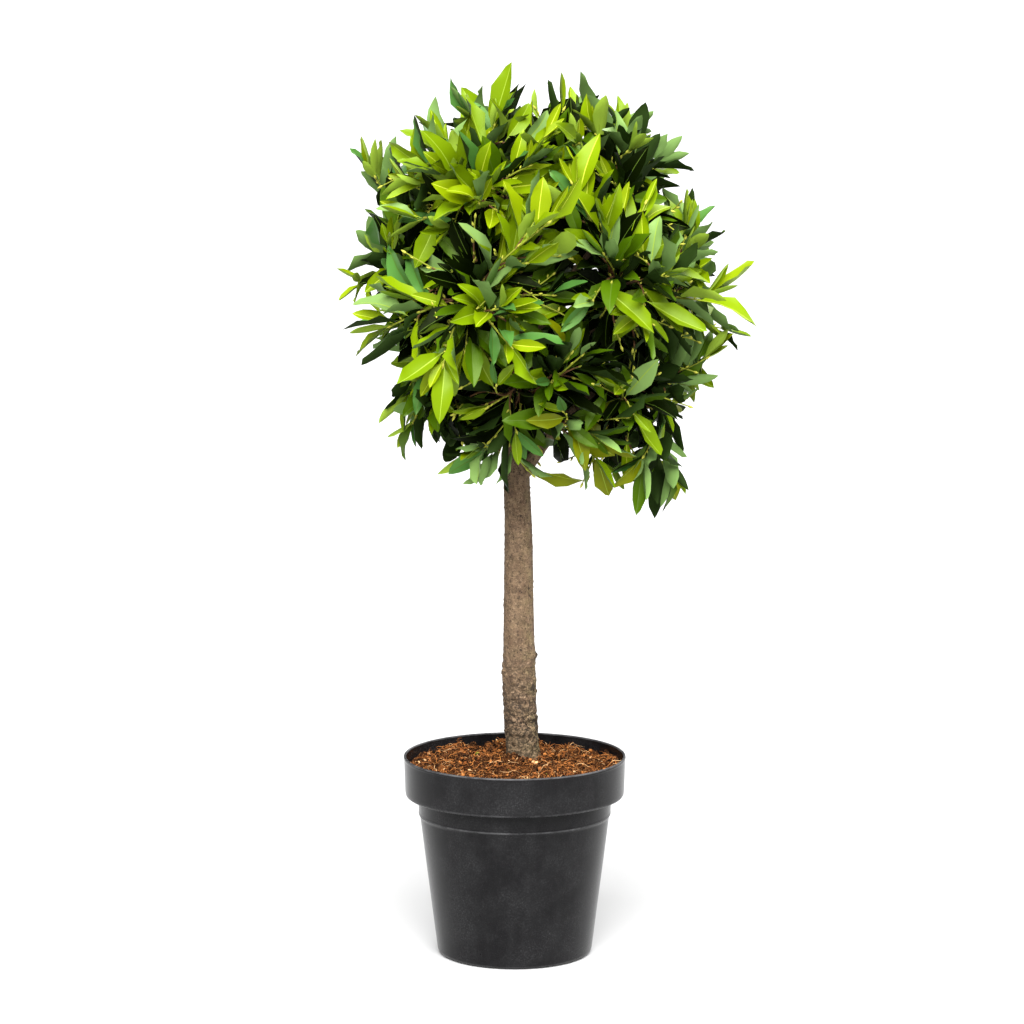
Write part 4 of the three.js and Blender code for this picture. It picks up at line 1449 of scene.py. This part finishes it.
def bud_shape():
    """A small pointed bud along +Y."""
    points = []
    for along, size in [(0.0, 0.12), (0.3, 0.26), (0.6, 0.22), (0.85, 0.1)]:
        for side in range(5):
            turn = FULL_TURN * side / 5
            points.append((size * math.cos(turn), along, -size * math.sin(turn)))
    faces = ring_faces(4, 5)
    tip = len(points)
    points.append((0, 1, 0))
    faces += [(15 + side, 15 + (side + 1) % 5, tip) for side in range(5)]
    faces.append((4, 3, 2, 1, 0))
    return points, faces, [BLADE] * len(faces)


def leaf_collection():
    """The leaf shapes and the bud, with each face's part and sharp edges kept."""
    made = [leaf_shape(*numbers) for numbers in LEAF_SHAPES] + [bud_shape()]

    def dress(mesh, number):
        layer = mesh.attributes.new("part", "INT", "FACE")
        layer.data.foreach_set("value", made[number][2])
        mesh.shade_smooth()
        if number == BUD_SHAPE:
            return
        sharp = mesh.attributes.new("sharp_edge", "BOOLEAN", "EDGE")
        for edge in mesh.edges:
            a, b = edge.vertices
            side, rings_end = a % LEAF_RING, len(LEAF_STATIONS) * LEAF_RING
            same_side = b % LEAF_RING == side or b >= rings_end
            sharp.data[edge.index].value = same_side and side in MARGIN_SIDES

    return shape_collection("bay_leaf_shapes", [(p, f) for p, f, _ in made], dress)


def leaf_chance(random, back, turn):
    """What chance gives a leaf, with its place back from the tip and its turn."""
    return {
        "back": back,
        "turn": turn,
        "open": (random() - 0.5) * 16,
        "size": 0.66 + 0.42 * random() ** 1.3,
        "roll": (random() - 0.5) * 1.1,
        "shape": int(random() * GROWN_SHAPES) % GROWN_SHAPES,
        "tone": random(),
    }


def place_leaf(curve, direction, chance, cover, opening):
    """Root, forward direction and face of a leaf on its shoot."""
    at_tip = chance["back"] == 0
    share = 1 - cover * chance["back"]
    root = curve(share)
    tangent = unit(curve(min(share + 0.02, 1)) - curve(share - 0.02))
    side, other = cross_directions(tangent)
    turn = chance["turn"] + opening[0]
    away = side * math.cos(turn) + other * math.sin(turn)
    angle = TIP_OPENING
    if not at_tip:
        angle = SIDE_OPENING + MORE_OPENING * chance["back"] + chance["open"]
    angle = math.radians(angle + opening[1])
    along = tangent * math.cos(angle) + away * math.sin(angle)
    along[2] += float(np.interp(direction[2], LEAF_LIFT[0], LEAF_LIFT[1]))
    along = unit(along)
    outward, upward = (float(np.interp(direction[2], FACE_LOW, column)) for column in FACE_WEIGHTS)
    face = tangent * 0.45 + away * (0.6 if at_tip else -0.1) + direction * outward + UP * upward
    face = unit(face - along * float(face @ along))
    across = cross(along, face)
    roll = chance["roll"]
    return root, along, unit(face * math.cos(roll) + across * math.sin(roll))


def blade_corners(root, along, face, length):
    """Foot, tip and the two sides of a leaf."""
    across = unit(cross(along, face))
    half = length * BLADE_HALF
    middle = root + along * (length * 0.5) + face * (length * BLADE_RISE)
    foot = root + along * (length * BLADE_FOOT)
    return np.array((foot, root + along * length, middle - across * half, middle + across * half))


BLADE_RUNS = [(0, 1), (0, 2), (2, 1), (0, 3), (3, 1)]
BLADE_HALVES = [(0, 2, 1), (0, 1, 3)]


def runs_cross(starts, ends, a, b, c):
    """True where straight runs pass through triangles, for arrays that broadcast."""
    run, ab, ac = ends - starts, b - a, c - a
    slant = np.cross(run, ac)
    size = (ab * slant).sum(-1)
    safe = np.where(np.abs(size) < 1e-9, 1.0, size)
    away = starts - a
    u = (away * slant).sum(-1) / safe
    lean = np.cross(away, ab)
    v = (run * lean).sum(-1) / safe
    t = (ac * lean).sum(-1) / safe
    inside = (u >= 0) & (v >= 0) & (u + v <= 1) & (t >= 0) & (t <= 1)
    return inside & (np.abs(size) >= 1e-9)


def crosses_others(corners, others):
    """True when a leaf's blade passes through one of the leaves near it."""
    if not len(others):
        return False
    starts = corners[[a for a, _ in BLADE_RUNS]][None]
    ends = corners[[b for _, b in BLADE_RUNS]][None]
    other_starts = others[:, [a for a, _ in BLADE_RUNS]]
    other_ends = others[:, [b for _, b in BLADE_RUNS]]
    for i, j, k in BLADE_HALVES:
        a, b, c = (others[:, None, n] for n in (i, j, k))
        if runs_cross(starts, ends, a, b, c).any():
            return True
        if runs_cross(other_starts, other_ends, corners[i], corners[j], corners[k]).any():
            return True
    return False


# How far leaves turn up or down, by the height of their shoot's direction.
LEAF_LIFT = ((-0.75, -0.35, 0.0, 0.5), (-0.36, -0.08, 0.56, 0.72))
# How far their faces turn outward and upward, by the same height.
FACE_LOW = (-0.7, -0.4, 0.0, 0.3)
FACE_WEIGHTS = ((0.9, 0.25, 0.40, 0.55), (0.3, 0.95, 0.65, 0.2))
# How far past the crown's outline the tips of a shoot's leaves may reach (mm).
STRAY_IN, STRAY_OUT, STRAY_POWER = -90, 66, 1.45
LOW_STRAY_IN = -112
# How far shoots, side twigs and leaves may cross into the next mass's space, and
# how far twigs and leaves keep from the limbs (mm).
SHOOT_OVERLAP, TWIG_OVERLAP, LEAF_OVERLAP = 8, 26, 42
TWIG_CLEARANCE, LEAF_CLEARANCE = 3.0, 2.0
# Radii of a shoot and of a side twig at foot and tip, and the woods along them.
SHOOT_WOOD = (2.5, 1.0, (OLD_WOOD, OLD_WOOD, RED_WOOD, GREEN_WOOD))
TWIG_WOOD = (1.5, 0.8, (RED_WOOD, RED_WOOD, GREEN_WOOD))
# Lengths of a shoot and of a side twig that carry leaves (mm), and the least and
# greatest share of either.
SHOOT_LEAFY = (112, 0.3, 0.85)
TWIG_LEAFY = (74, 0.4, 0.9)
# A side twig's greatest length, and how far inside the outline it ends (mm).
TWIG_LONGEST, TWIG_TIP_DEPTH = 96, 38
# Leaves no further out than these shares of the crown are in the shade.
DEEP_SHADE, HALF_SHADE = 0.64, 0.74
# Least light at which a leaf has each tint, and how much lighter young ones are.
LIME_FROM, FRESH_FROM, PAINTED_SHEEN_FROM, MID_FROM, DULL_FROM = 0.56, 0.24, 0.05, 0.02, -0.26
YOUNG_LIGHTER = 0.30
# What a leaf's light is made of: its side, its spray, how far out it is past a
# usual share of the crown, and chance.
SIDE_WEIGHT, SPRAY_WEIGHT, OUT_WEIGHT, CHANCE_WEIGHT = 0.21, 0.62, 0.9, 0.7
USUAL_SHARE = 0.83
# Least chance at which a leaf has these tints, where its place leaves a choice.
DEEP_CHANCE, PAINTED_SHEEN_CHANCE, OLIVE_CHANCE, MID_CHANCE, BLUISH_CHANCE = 0.6, 0.86, 0.45, 0.34, 0.55
# A young leaf's size against a grown one, and the least width of a leaf against
# its shape's with what chance adds.
YOUNG_SIZE = 0.70
LEAST_WIDTH, MORE_WIDTH = 0.77, 0.2
# How far a side twig swings out from its shoot, and what chance adds (degrees).
TWIG_SWING, MORE_SWING = 9.5, 5
# Where side twigs leave a shoot: the first, the space between and what chance
# adds; and how far out they reach.
TWIG_FIRST, TWIG_SPACE, MORE_SPACE = 0.42, 0.17, 0.08
TWIG_REACH, MORE_REACH = 0.80, 0.16
# How much sprays, and twigs within one, differ in light.
SPRAY_SPREAD, TWIG_SPREAD = 0.9, 0.35
# Buds in the axils of leaves, what chance adds, and at the tips of twigs (mm).
AXIL_BUD, MORE_BUD, TIP_BUD = 5.0, 2.5, 8.0
TWIG_SIDES = 6
# Elevations below and above which a mass is a low or a high one.
LOW_MASS, HIGH_MASS = -20, 30
MOST_LEAVES = 9000
# Blades further apart than this, from middle to middle, can't cross (mm).
NEAR_ENOUGH = 62
# The underside of the crown rises to the trunk: distance out from it, and height.
UNDERSIDE = ((0, 55, 110, 170), (648, 640, 600, 540))
# What is tried for a leaf until it fits: a turn (radians) and a wider or narrower
# opening (degrees).
TRIES = [
    (0, 0), (0.6, 6), (-0.6, 6), (1.2, -8), (-1.2, -8), (0.3, 18), (-0.3, 18), (2.1, 0), (-2.1, 0),
]


def leafy_share(curve, leafy, least, greatest):
    """Share of a twig that carries leaves."""
    return clamp(leafy / max(length_of(curve(1) - curve(0)), 1), least, greatest)


class Crown:
    """Grows the twigs and leaves of every mass, and keeps what has been placed."""

    def __init__(self, settings):
        self.settings = settings
        self.leaf_length = settings.leaf_length / MM
        self.blades = np.zeros((MOST_LEAVES, 4, 3))
        self.count = 0
        self.twigs = []
        self.leaves = []

    def tint_of(self, root, along, chance, spray, young):
        """Deals a leaf its colour by its place, its spray and its age: painted shade deep in the
        crown, painted light towards the sunny side and out near the surface.
        """
        out = root + along * 30 - CROWN_CENTRE
        direction = unit(out)
        share = length_of(root - CROWN_CENTRE) / (0.93 * crown_reach(direction))
        tone = chance["tone"]
        if share < DEEP_SHADE:
            return SHADE
        if share < HALF_SHADE:
            return SHADE if tone < DEEP_CHANCE else DEEP
        sunny = float(direction @ SUNNY_SIDE)
        score = SIDE_WEIGHT * sunny + SPRAY_WEIGHT * spray
        score = score + OUT_WEIGHT * (share - USUAL_SHARE) + CHANCE_WEIGHT * (tone - 0.5)
        if young:
            score += YOUNG_LIGHTER
        if score > LIME_FROM:
            return LIME
        # Some leaves in the light get the pale tint of a painted sheen.
        if tone > PAINTED_SHEEN_CHANCE and score > PAINTED_SHEEN_FROM:
            return PAINTED_SHEEN
        if score > FRESH_FROM:
            return FRESH
        if score > MID_FROM:
            return MID
        if direction[2] < -0.1 and direction[0] > 0 and tone > OLIVE_CHANCE:
            return OLIVE
        if score > DULL_FROM:
            return MID if tone > MID_CHANCE else BLUISH
        return BLUISH if tone > BLUISH_CHANCE else DEEP

    def near(self, corners):
        """Blades already placed that are close enough to be crossed."""
        placed = self.blades[: self.count]
        away = np.abs(placed.mean(1) - corners.mean(0)).max(-1)
        return placed[away < NEAR_ENOUGH]

    def settle(self, index, curve, direction, chance, cover, spray, limit, young=False):
        """Places one leaf at the first turn and opening that suit it, if any do."""
        length = self.leaf_length * (chance["size"] * (YOUNG_SIZE if young else 1.0))
        for opening in TRIES:
            root, along, face = place_leaf(curve, direction, chance, cover, opening)
            corners = blade_corners(root, along, face, length)
            if depth_in_space(index, corners).min() < -LEAF_OVERLAP:
                continue
            reach = leaf_reach(unit(corners[1] - CROWN_CENTRE))
            if length_of(corners[1] - CROWN_CENTRE) > reach + limit:
                continue
            beside_trunk = float(np.hypot(*(corners[1, :2] - trunk_centre(corners[1, 2])[:2])))
            if corners[:, 2].min() < np.interp(beside_trunk, *UNDERSIDE):
                continue
            if not clear_of_limbs(corners[[0, 2]], corners[[1, 3]], LEAF_CLEARANCE):
                continue
            if crosses_others(corners, self.near(corners)):
                continue
            self.blades[self.count] = corners
            self.count += 1
            across = cross(along, face)
            turn = Matrix(np.column_stack([across, along, face]).tolist()).to_euler()
            shape = YOUNG_SHAPES[chance["shape"] % 2] if young else chance["shape"]
            width = length * (LEAST_WIDTH + MORE_WIDTH * chance["tone"])
            tint = self.tint_of(root, along, chance, spray, young)
            self.leaves.append((root, turn, (width, length, length), shape, tint))
            return

    def add_bud(self, root, tangent, size):
        """Stands a bud at a place, pointing along a direction."""
        side, other = cross_directions(tangent)
        turn = Matrix(np.column_stack([other, tangent, side]).tolist()).to_euler()
        self.leaves.append((root, turn, (0.85 * size, size, 0.85 * size), BUD_SHAPE, FRESH))

    def add_twig(self, curve, foot_radius, tip_radius, tints, steps=9):
        """Keeps a twig as points along its curve, with their radii and woods."""
        points = [curve(i / steps) for i in range(steps + 1)]
        radii = [lerp(foot_radius, tip_radius, i / steps) for i in range(steps + 1)]
        last = len(tints) - 1
        colours = [tints[min(int(i / steps * len(tints)), last)] for i in range(steps + 1)]
        self.twigs.append((points, radii, colours))

    def dress(self, index, curve, direction, count, cover, random, spray, limit):
        """Puts grown leaves along a shoot and young ones with a bud at its tip."""
        phase = random() * FULL_TURN
        for i in range(count):
            back = i / max(count - 1, 1)
            chance = leaf_chance(random, back, phase + i * GOLDEN_ANGLE)
            self.settle(index, curve, direction, chance, cover, spray, limit)
            if i % 2:
                root, along, face = place_leaf(curve, direction, chance, cover, TRIES[0])
                size = AXIL_BUD + MORE_BUD * chance["tone"]
                self.add_bud(root + face * 1.4, unit(along + face), size)
        for i in range(self.settings.young_leaves):
            chance = leaf_chance(random, 0.02 + 0.05 * i, phase + 1.2 + i * GOLDEN_ANGLE)
            chance["open"] = -22 + 8 * i + 8 * random()
            self.settle(index, curve, direction, chance, 0.3, spray + 0.12, limit + 6, young=True)
        self.add_bud(curve(1), unit(curve(1) - curve(0.96)), TIP_BUD)

    def side_curve(self, parent, share, direction, reach):
        """A finer twig that leaves a shoot and ends near the ball's surface."""
        foot = parent(share)
        tangent = unit(parent(min(share + 0.02, 1)) - parent(share - 0.02))
        end = direction * (reach - TWIG_TIP_DEPTH) + CROWN_CENTRE
        away = end - foot
        if length_of(away) > TWIG_LONGEST:
            end = foot + unit(away) * TWIG_LONGEST
        guide = foot + unit(tangent + unit(end - foot)) * (length_of(end - foot) * 0.5)
        guide[2] += 4
        return lambda t: bend(foot, guide, end, t)

    def grow_shoot(self, index, stem, direction, reach, random):
        """One main shoot, drawn a little further up, with its finer side twigs."""
        phase = random() * FULL_TURN
        spray = (random() - 0.5) * SPRAY_SPREAD
        inmost = float(np.interp(direction[2], (-0.5, -0.2), (LOW_STRAY_IN, STRAY_IN)))
        limit = inmost + (STRAY_OUT - inmost) * random() ** STRAY_POWER
        reach = lobed(reach, direction, LEAF_LOBES) - 16 + 0.5 * limit
        source_curve = shoot_curve(index, stem, direction, reach)
        rise = float(np.interp(direction[2], (-0.5, 0.1), (-4, 12)))

        def curve(t):
            point = source_curve(t)
            point[2] += rise * t * t
            return point

        fits = shoot_fits(index, curve, -SHOOT_OVERLAP)
        if fits:
            self.add_twig(curve, *SHOOT_WOOD)
            cover = leafy_share(curve, *SHOOT_LEAFY)
            self.dress(index, curve, direction, self.settings.shoot_leaves, cover, random,
                       spray, limit)
        side, other = cross_directions(direction)
        for i in range(self.settings.side_twigs):
            # Every draw is made before a twig is left out, so the others keep theirs.
            turn = phase + i * FULL_TURN / self.settings.side_twigs + (random() - 0.5) * 0.7
            swing = math.radians(TWIG_SWING + MORE_SWING * random())
            aside = side * math.cos(turn) + other * math.sin(turn)
            new_direction = unit(direction * math.cos(swing) + aside * math.sin(swing))
            new_reach = leaf_reach(new_direction) * (TWIG_REACH + MORE_REACH * random())
            share = TWIG_FIRST + TWIG_SPACE * i + MORE_SPACE * random()
            tone = spray + (random() - 0.5) * TWIG_SPREAD
            if not fits:
                continue
            twig = self.side_curve(curve, min(share, 0.9), new_direction, new_reach)
            points = np.array([twig(k / 4) for k in range(1, 5)])
            if depth_in_space(index, points).min() < -TWIG_OVERLAP:
                continue
            if not clear_of_limbs(points[:-1], points[1:], TWIG_CLEARANCE):
                continue
            self.add_twig(twig, *TWIG_WOOD, 7)
            cover = leafy_share(twig, *TWIG_LEAFY)
            self.dress(index, twig, new_direction, self.settings.twig_leaves, cover, random,
                       tone, limit - 10)

    def grow_mass(self, index, shoots):
        """Grows one mass; returns its twigs and its leaves."""
        self.twigs, self.leaves = [], []
        random = random_from(3000 + index * 31)
        radius, stem = stem_curve(index)
        self.add_twig(stem, radius + 0.5, 2.8, (OLD_WOOD,), 12)
        for direction, reach in shoots:
            self.grow_shoot(index, stem, direction, reach, random)
        return self.twigs, self.leaves


def leaf_tree(blades, ribs, unders, bud):
    """Stands a leaf shape at each point and deals out the colours of its parts."""
    tree, graph, given, result = geometry_tree("bay_leaves", [
        ("Leaf Shapes", "NodeSocketCollection", None),
        ("Leaf Scale", "NodeSocketFloat", 1.0),
    ])
    turn = graph.add(
        "FunctionNodeEulerToRotation", {"Euler": named_value(graph, "turn", "FLOAT_VECTOR")}
    )
    size = graph.add(
        "ShaderNodeVectorMath",
        {0: named_value(graph, "size", "FLOAT_VECTOR"), "Scale": given["Leaf Scale"]},
        operation="SCALE",
    )
    placed = graph.add("GeometryNodeInstanceOnPoints", {
        "Points": given["Geometry"],
        "Instance": shapes_of(graph, given["Leaf Shapes"]),
        "Pick Instance": True,
        "Instance Index": named_value(graph, "shape", "INT"),
        "Rotation": turn.outputs[0],
        "Scale": size.outputs[0],
    })
    geometry = realized(graph, placed.outputs[0])
    tint, part = named_value(graph, "tint", "INT"), named_value(graph, "part", "INT")
    on_part = [compared(graph, part, number) for number in (BLADE, RIB, UNDER)]
    for number, (_, _, group) in enumerate(LEAF_TINTS):
        on_tint = compared(graph, tint, number)
        looks = (BLADE, blades[number]), (RIB, ribs[group]), (UNDER, unders[group])
        for which, material in looks:
            chosen = both(graph, on_tint, on_part[which])
            geometry = set_material(graph, geometry, material, chosen)
    on_bud = compared(graph, named_value(graph, "shape", "INT"), BUD_SHAPE)
    geometry = set_material(graph, geometry, bud, on_bud)
    graph.fill(result, geometry)
    return tree


def twig_tree(materials):
    """Sweeps a round section along each twig and deals out its colours."""
    tree, graph, given, result = geometry_tree("bay_twigs", [
        ("Sides", "NodeSocketInt", TWIG_SIDES),
        ("Thickness", "NodeSocketFloat", 1.0),
    ])
    curves = graph.add("GeometryNodeMeshToCurve", {"Mesh": given["Geometry"]}).outputs[0]
    radius = graph.times(named_value(graph, "thickness", "FLOAT"), given["Thickness"])
    section = graph.add(
        "GeometryNodeCurvePrimitiveCircle", {"Resolution": given["Sides"], "Radius": 1.0}
    ).outputs[0]
    swept = graph.add("GeometryNodeCurveToMesh", {
        "Curve": curves, "Profile Curve": section, "Scale": radius, "Fill Caps": True,
    })
    geometry = realized(graph, swept.outputs[0])
    tint = named_value(graph, "tint", "INT")
    for number, material in enumerate(materials):
        geometry = set_material(graph, geometry, material, compared(graph, tint, number))
    graph.fill(result, geometry)
    return tree


def leaf_points(name, leaves):
    """Points that carry each leaf's turn, size, shape and colour."""
    obj = mesh_object(name, [root for root, *_ in leaves], [])
    mesh = obj.data
    point_values(mesh, "turn", "FLOAT_VECTOR", [tuple(turn) for _, turn, *_ in leaves])
    sizes = [np.array(size) * MM for _, _, size, _, _ in leaves]
    point_values(mesh, "size", "FLOAT_VECTOR", sizes)
    point_values(mesh, "shape", "INT", [shape for *_, shape, _ in leaves])
    point_values(mesh, "tint", "INT", [tint for *_, tint in leaves])
    return obj


def twig_lines(name, twigs):
    """Lines that carry each twig's thickness and colour."""
    points, edges, radii, tints = [], [], [], []
    for line, sizes, colours in twigs:
        first = len(points)
        points += line
        radii += sizes
        tints += colours
        edges += [(first + i, first + i + 1) for i in range(len(line) - 1)]
    obj = mesh_object(name, points, [], edges)
    point_values(obj.data, "thickness", "FLOAT", np.array(radii) * MM)
    point_values(obj.data, "tint", "INT", tints)
    return obj


class MakeCrown(bpy.types.Operator):
    """Grows the twigs and leaves of every mass of the crown"""

    bl_idname = "bay.make_crown"
    bl_label = "Make the crown"

    def execute(self, context):
        settings = context.scene.bay_crown
        blades = [
            plain_material(name, tint, *(SHADE_FINISH if name == "leaf_shade" else LEAF_FINISH))
            for name, tint, _ in LEAF_TINTS
        ]
        ribs, unders = (
            [plain_material(f"{name}_{i}", tint, *finish) for i, tint in enumerate(tints)]
            for name, tints, finish in (
                ("leaf_rib", RIB_COLOURS, RIB_FINISH), ("leaf_under", UNDER_COLOURS, UNDER_FINISH),
            )
        )
        wood = [plain_material(name, tint, *WOOD_FINISH) for name, tint in TWIG_COLOURS]
        shapes = leaf_collection()
        leaves_tree = leaf_tree(blades, ribs, unders, wood[BUD])
        twigs_tree = twig_tree(wood[:BUD])
        crown = Crown(settings)
        for index, shoots in enumerate(shoot_directions()):
            name, _, elevation = MASSES[index][:3]
            twigs, leaves = crown.grow_mass(index, shoots)
            obj = leaf_points(f"leaves_{name}", leaves)
            run_tree(obj, leaves_tree, {"Leaf Shapes": shapes, "Leaf Scale": 1.0})
            level = "low" if elevation < LOW_MASS else "high" if elevation > HIGH_MASS else "middle"
            finish_piece(obj, f"leaf_{level}", f"mass_{name}")
            obj = twig_lines(f"twigs_{name}", twigs)
            values = {"Sides": TWIG_SIDES, "Thickness": settings.twig_thickness}
            run_tree(obj, twigs_tree, values)
            finish_piece(obj, "bark", f"mass_{name}")
        discard_collection(shapes)
        return {"FINISHED"}


# ------------------------------------------------------------------------ stage

# Soft sun lamps: name, apparent width in degrees and place (m), with what they aim at.
LIGHTS = [("high_light", 56, (0.0, -2.5, 3.4)), ("back_light", 60, (1.4, 2.8, 3.4))]
LIT_SPOT = (0, 0, 0.6)
# The camera's place (m), its tilt up from straight down in degrees, the width of its
# sensor (mm) and how far it sees (m).
CAMERA_PLACE = (-0.0034, -5.0, 1.340)
CAMERA_TILT = 81.19
SENSOR_WIDTH, CLIP_END = 36.0, 500.0


class MakeStage(bpy.types.Operator):
    """Lays the pale floor, hangs the soft lights and sets up the camera"""

    bl_idname = "bay.make_stage"
    bl_label = "Make the stage"

    def execute(self, context):
        scene = context.scene
        stage = scene.bay_stage
        half = stage.floor_size / MM / 2
        corners = [(-half, -half, 0), (half, -half, 0), (half, half, 0), (-half, half, 0)]
        floor = mesh_object("pale_floor", corners, [(0, 1, 2, 3)], smooth=False)
        floor.data.materials.append(plain_material("floor_pale", (0.42, 0.42, 0.42), 0.9, 0.1))

        world = bpy.data.worlds.new("white_surroundings")
        world.use_nodes = True
        background = world.node_tree.nodes["Background"]
        background.inputs["Color"].default_value = (1, 1, 1, 1)
        graph = Graph(world.node_tree)
        seen = graph.add("ShaderNodeLightPath").outputs["Is Camera Ray"]
        graph.fill(background.inputs["Strength"], graph.math("MAXIMUM", seen, stage.sky))
        scene.world = world

        for (name, spread, place), power in zip(LIGHTS, (stage.key_strength, stage.back_strength)):
            light = bpy.data.lights.new(name, "SUN")
            light.energy = power
            light.angle = math.radians(spread)
            lamp = bpy.data.objects.new(name, light)
            lamp.location = place
            aim = Vector(LIT_SPOT) - lamp.location
            lamp.rotation_euler = aim.to_track_quat("-Z", "Y").to_euler()
            scene.collection.objects.link(lamp)

        camera = bpy.data.cameras.new("camera")
        camera.lens = stage.lens
        camera.sensor_width = SENSOR_WIDTH
        camera.clip_end = CLIP_END
        view = bpy.data.objects.new("camera", camera)
        view.location = CAMERA_PLACE
        view.rotation_euler = (math.radians(CAMERA_TILT), 0, 0)
        scene.collection.objects.link(view)
        scene.camera = view
        scene.view_settings.view_transform = "Standard"
        return {"FINISHED"}


# ------------------------------------------------------------------------ add-on


class VIEW3D_PT_bay_topiary(bpy.types.Panel):
    """Lists the pieces of the bay topiary and their settings"""

    bl_label = "Bay Topiary"
    bl_space_type = "VIEW_3D"
    bl_region_type = "UI"
    bl_category = "Bay Topiary"

    def draw(self, context):
        for name, _, operator in STEPS:
            box = self.layout.box()
            box.operator(operator.bl_idname)
            settings = getattr(context.scene, name)
            for key in settings.bl_rna.properties.keys():
                if key not in ("rna_type", "name"):
                    box.prop(settings, key)


STEPS = [
    ("bay_pot", PotSettings, MakePot),
    ("bay_soil", SoilSettings, MakeSoil),
    ("bay_trunk", TrunkSettings, MakeTrunk),
    ("bay_crown", CrownSettings, MakeCrown),
    ("bay_stage", StageSettings, MakeStage),
]


def register():
    for name, settings, operator in STEPS:
        bpy.utils.register_class(settings)
        bpy.utils.register_class(operator)
        setattr(bpy.types.Scene, name, PointerProperty(type=settings))
    bpy.utils.register_class(VIEW3D_PT_bay_topiary)


def unregister():
    bpy.utils.unregister_class(VIEW3D_PT_bay_topiary)
    for name, settings, operator in reversed(STEPS):
        delattr(bpy.types.Scene, name)
        bpy.utils.unregister_class(operator)
        bpy.utils.unregister_class(settings)


def main():
    """Makes every piece in order."""
    register()
    bpy.ops.bay.make_pot()
    bpy.ops.bay.make_soil()
    bpy.ops.bay.make_trunk()
    bpy.ops.bay.make_crown()
    bpy.ops.bay.make_stage()


if __name__ == "__main__":
    main()
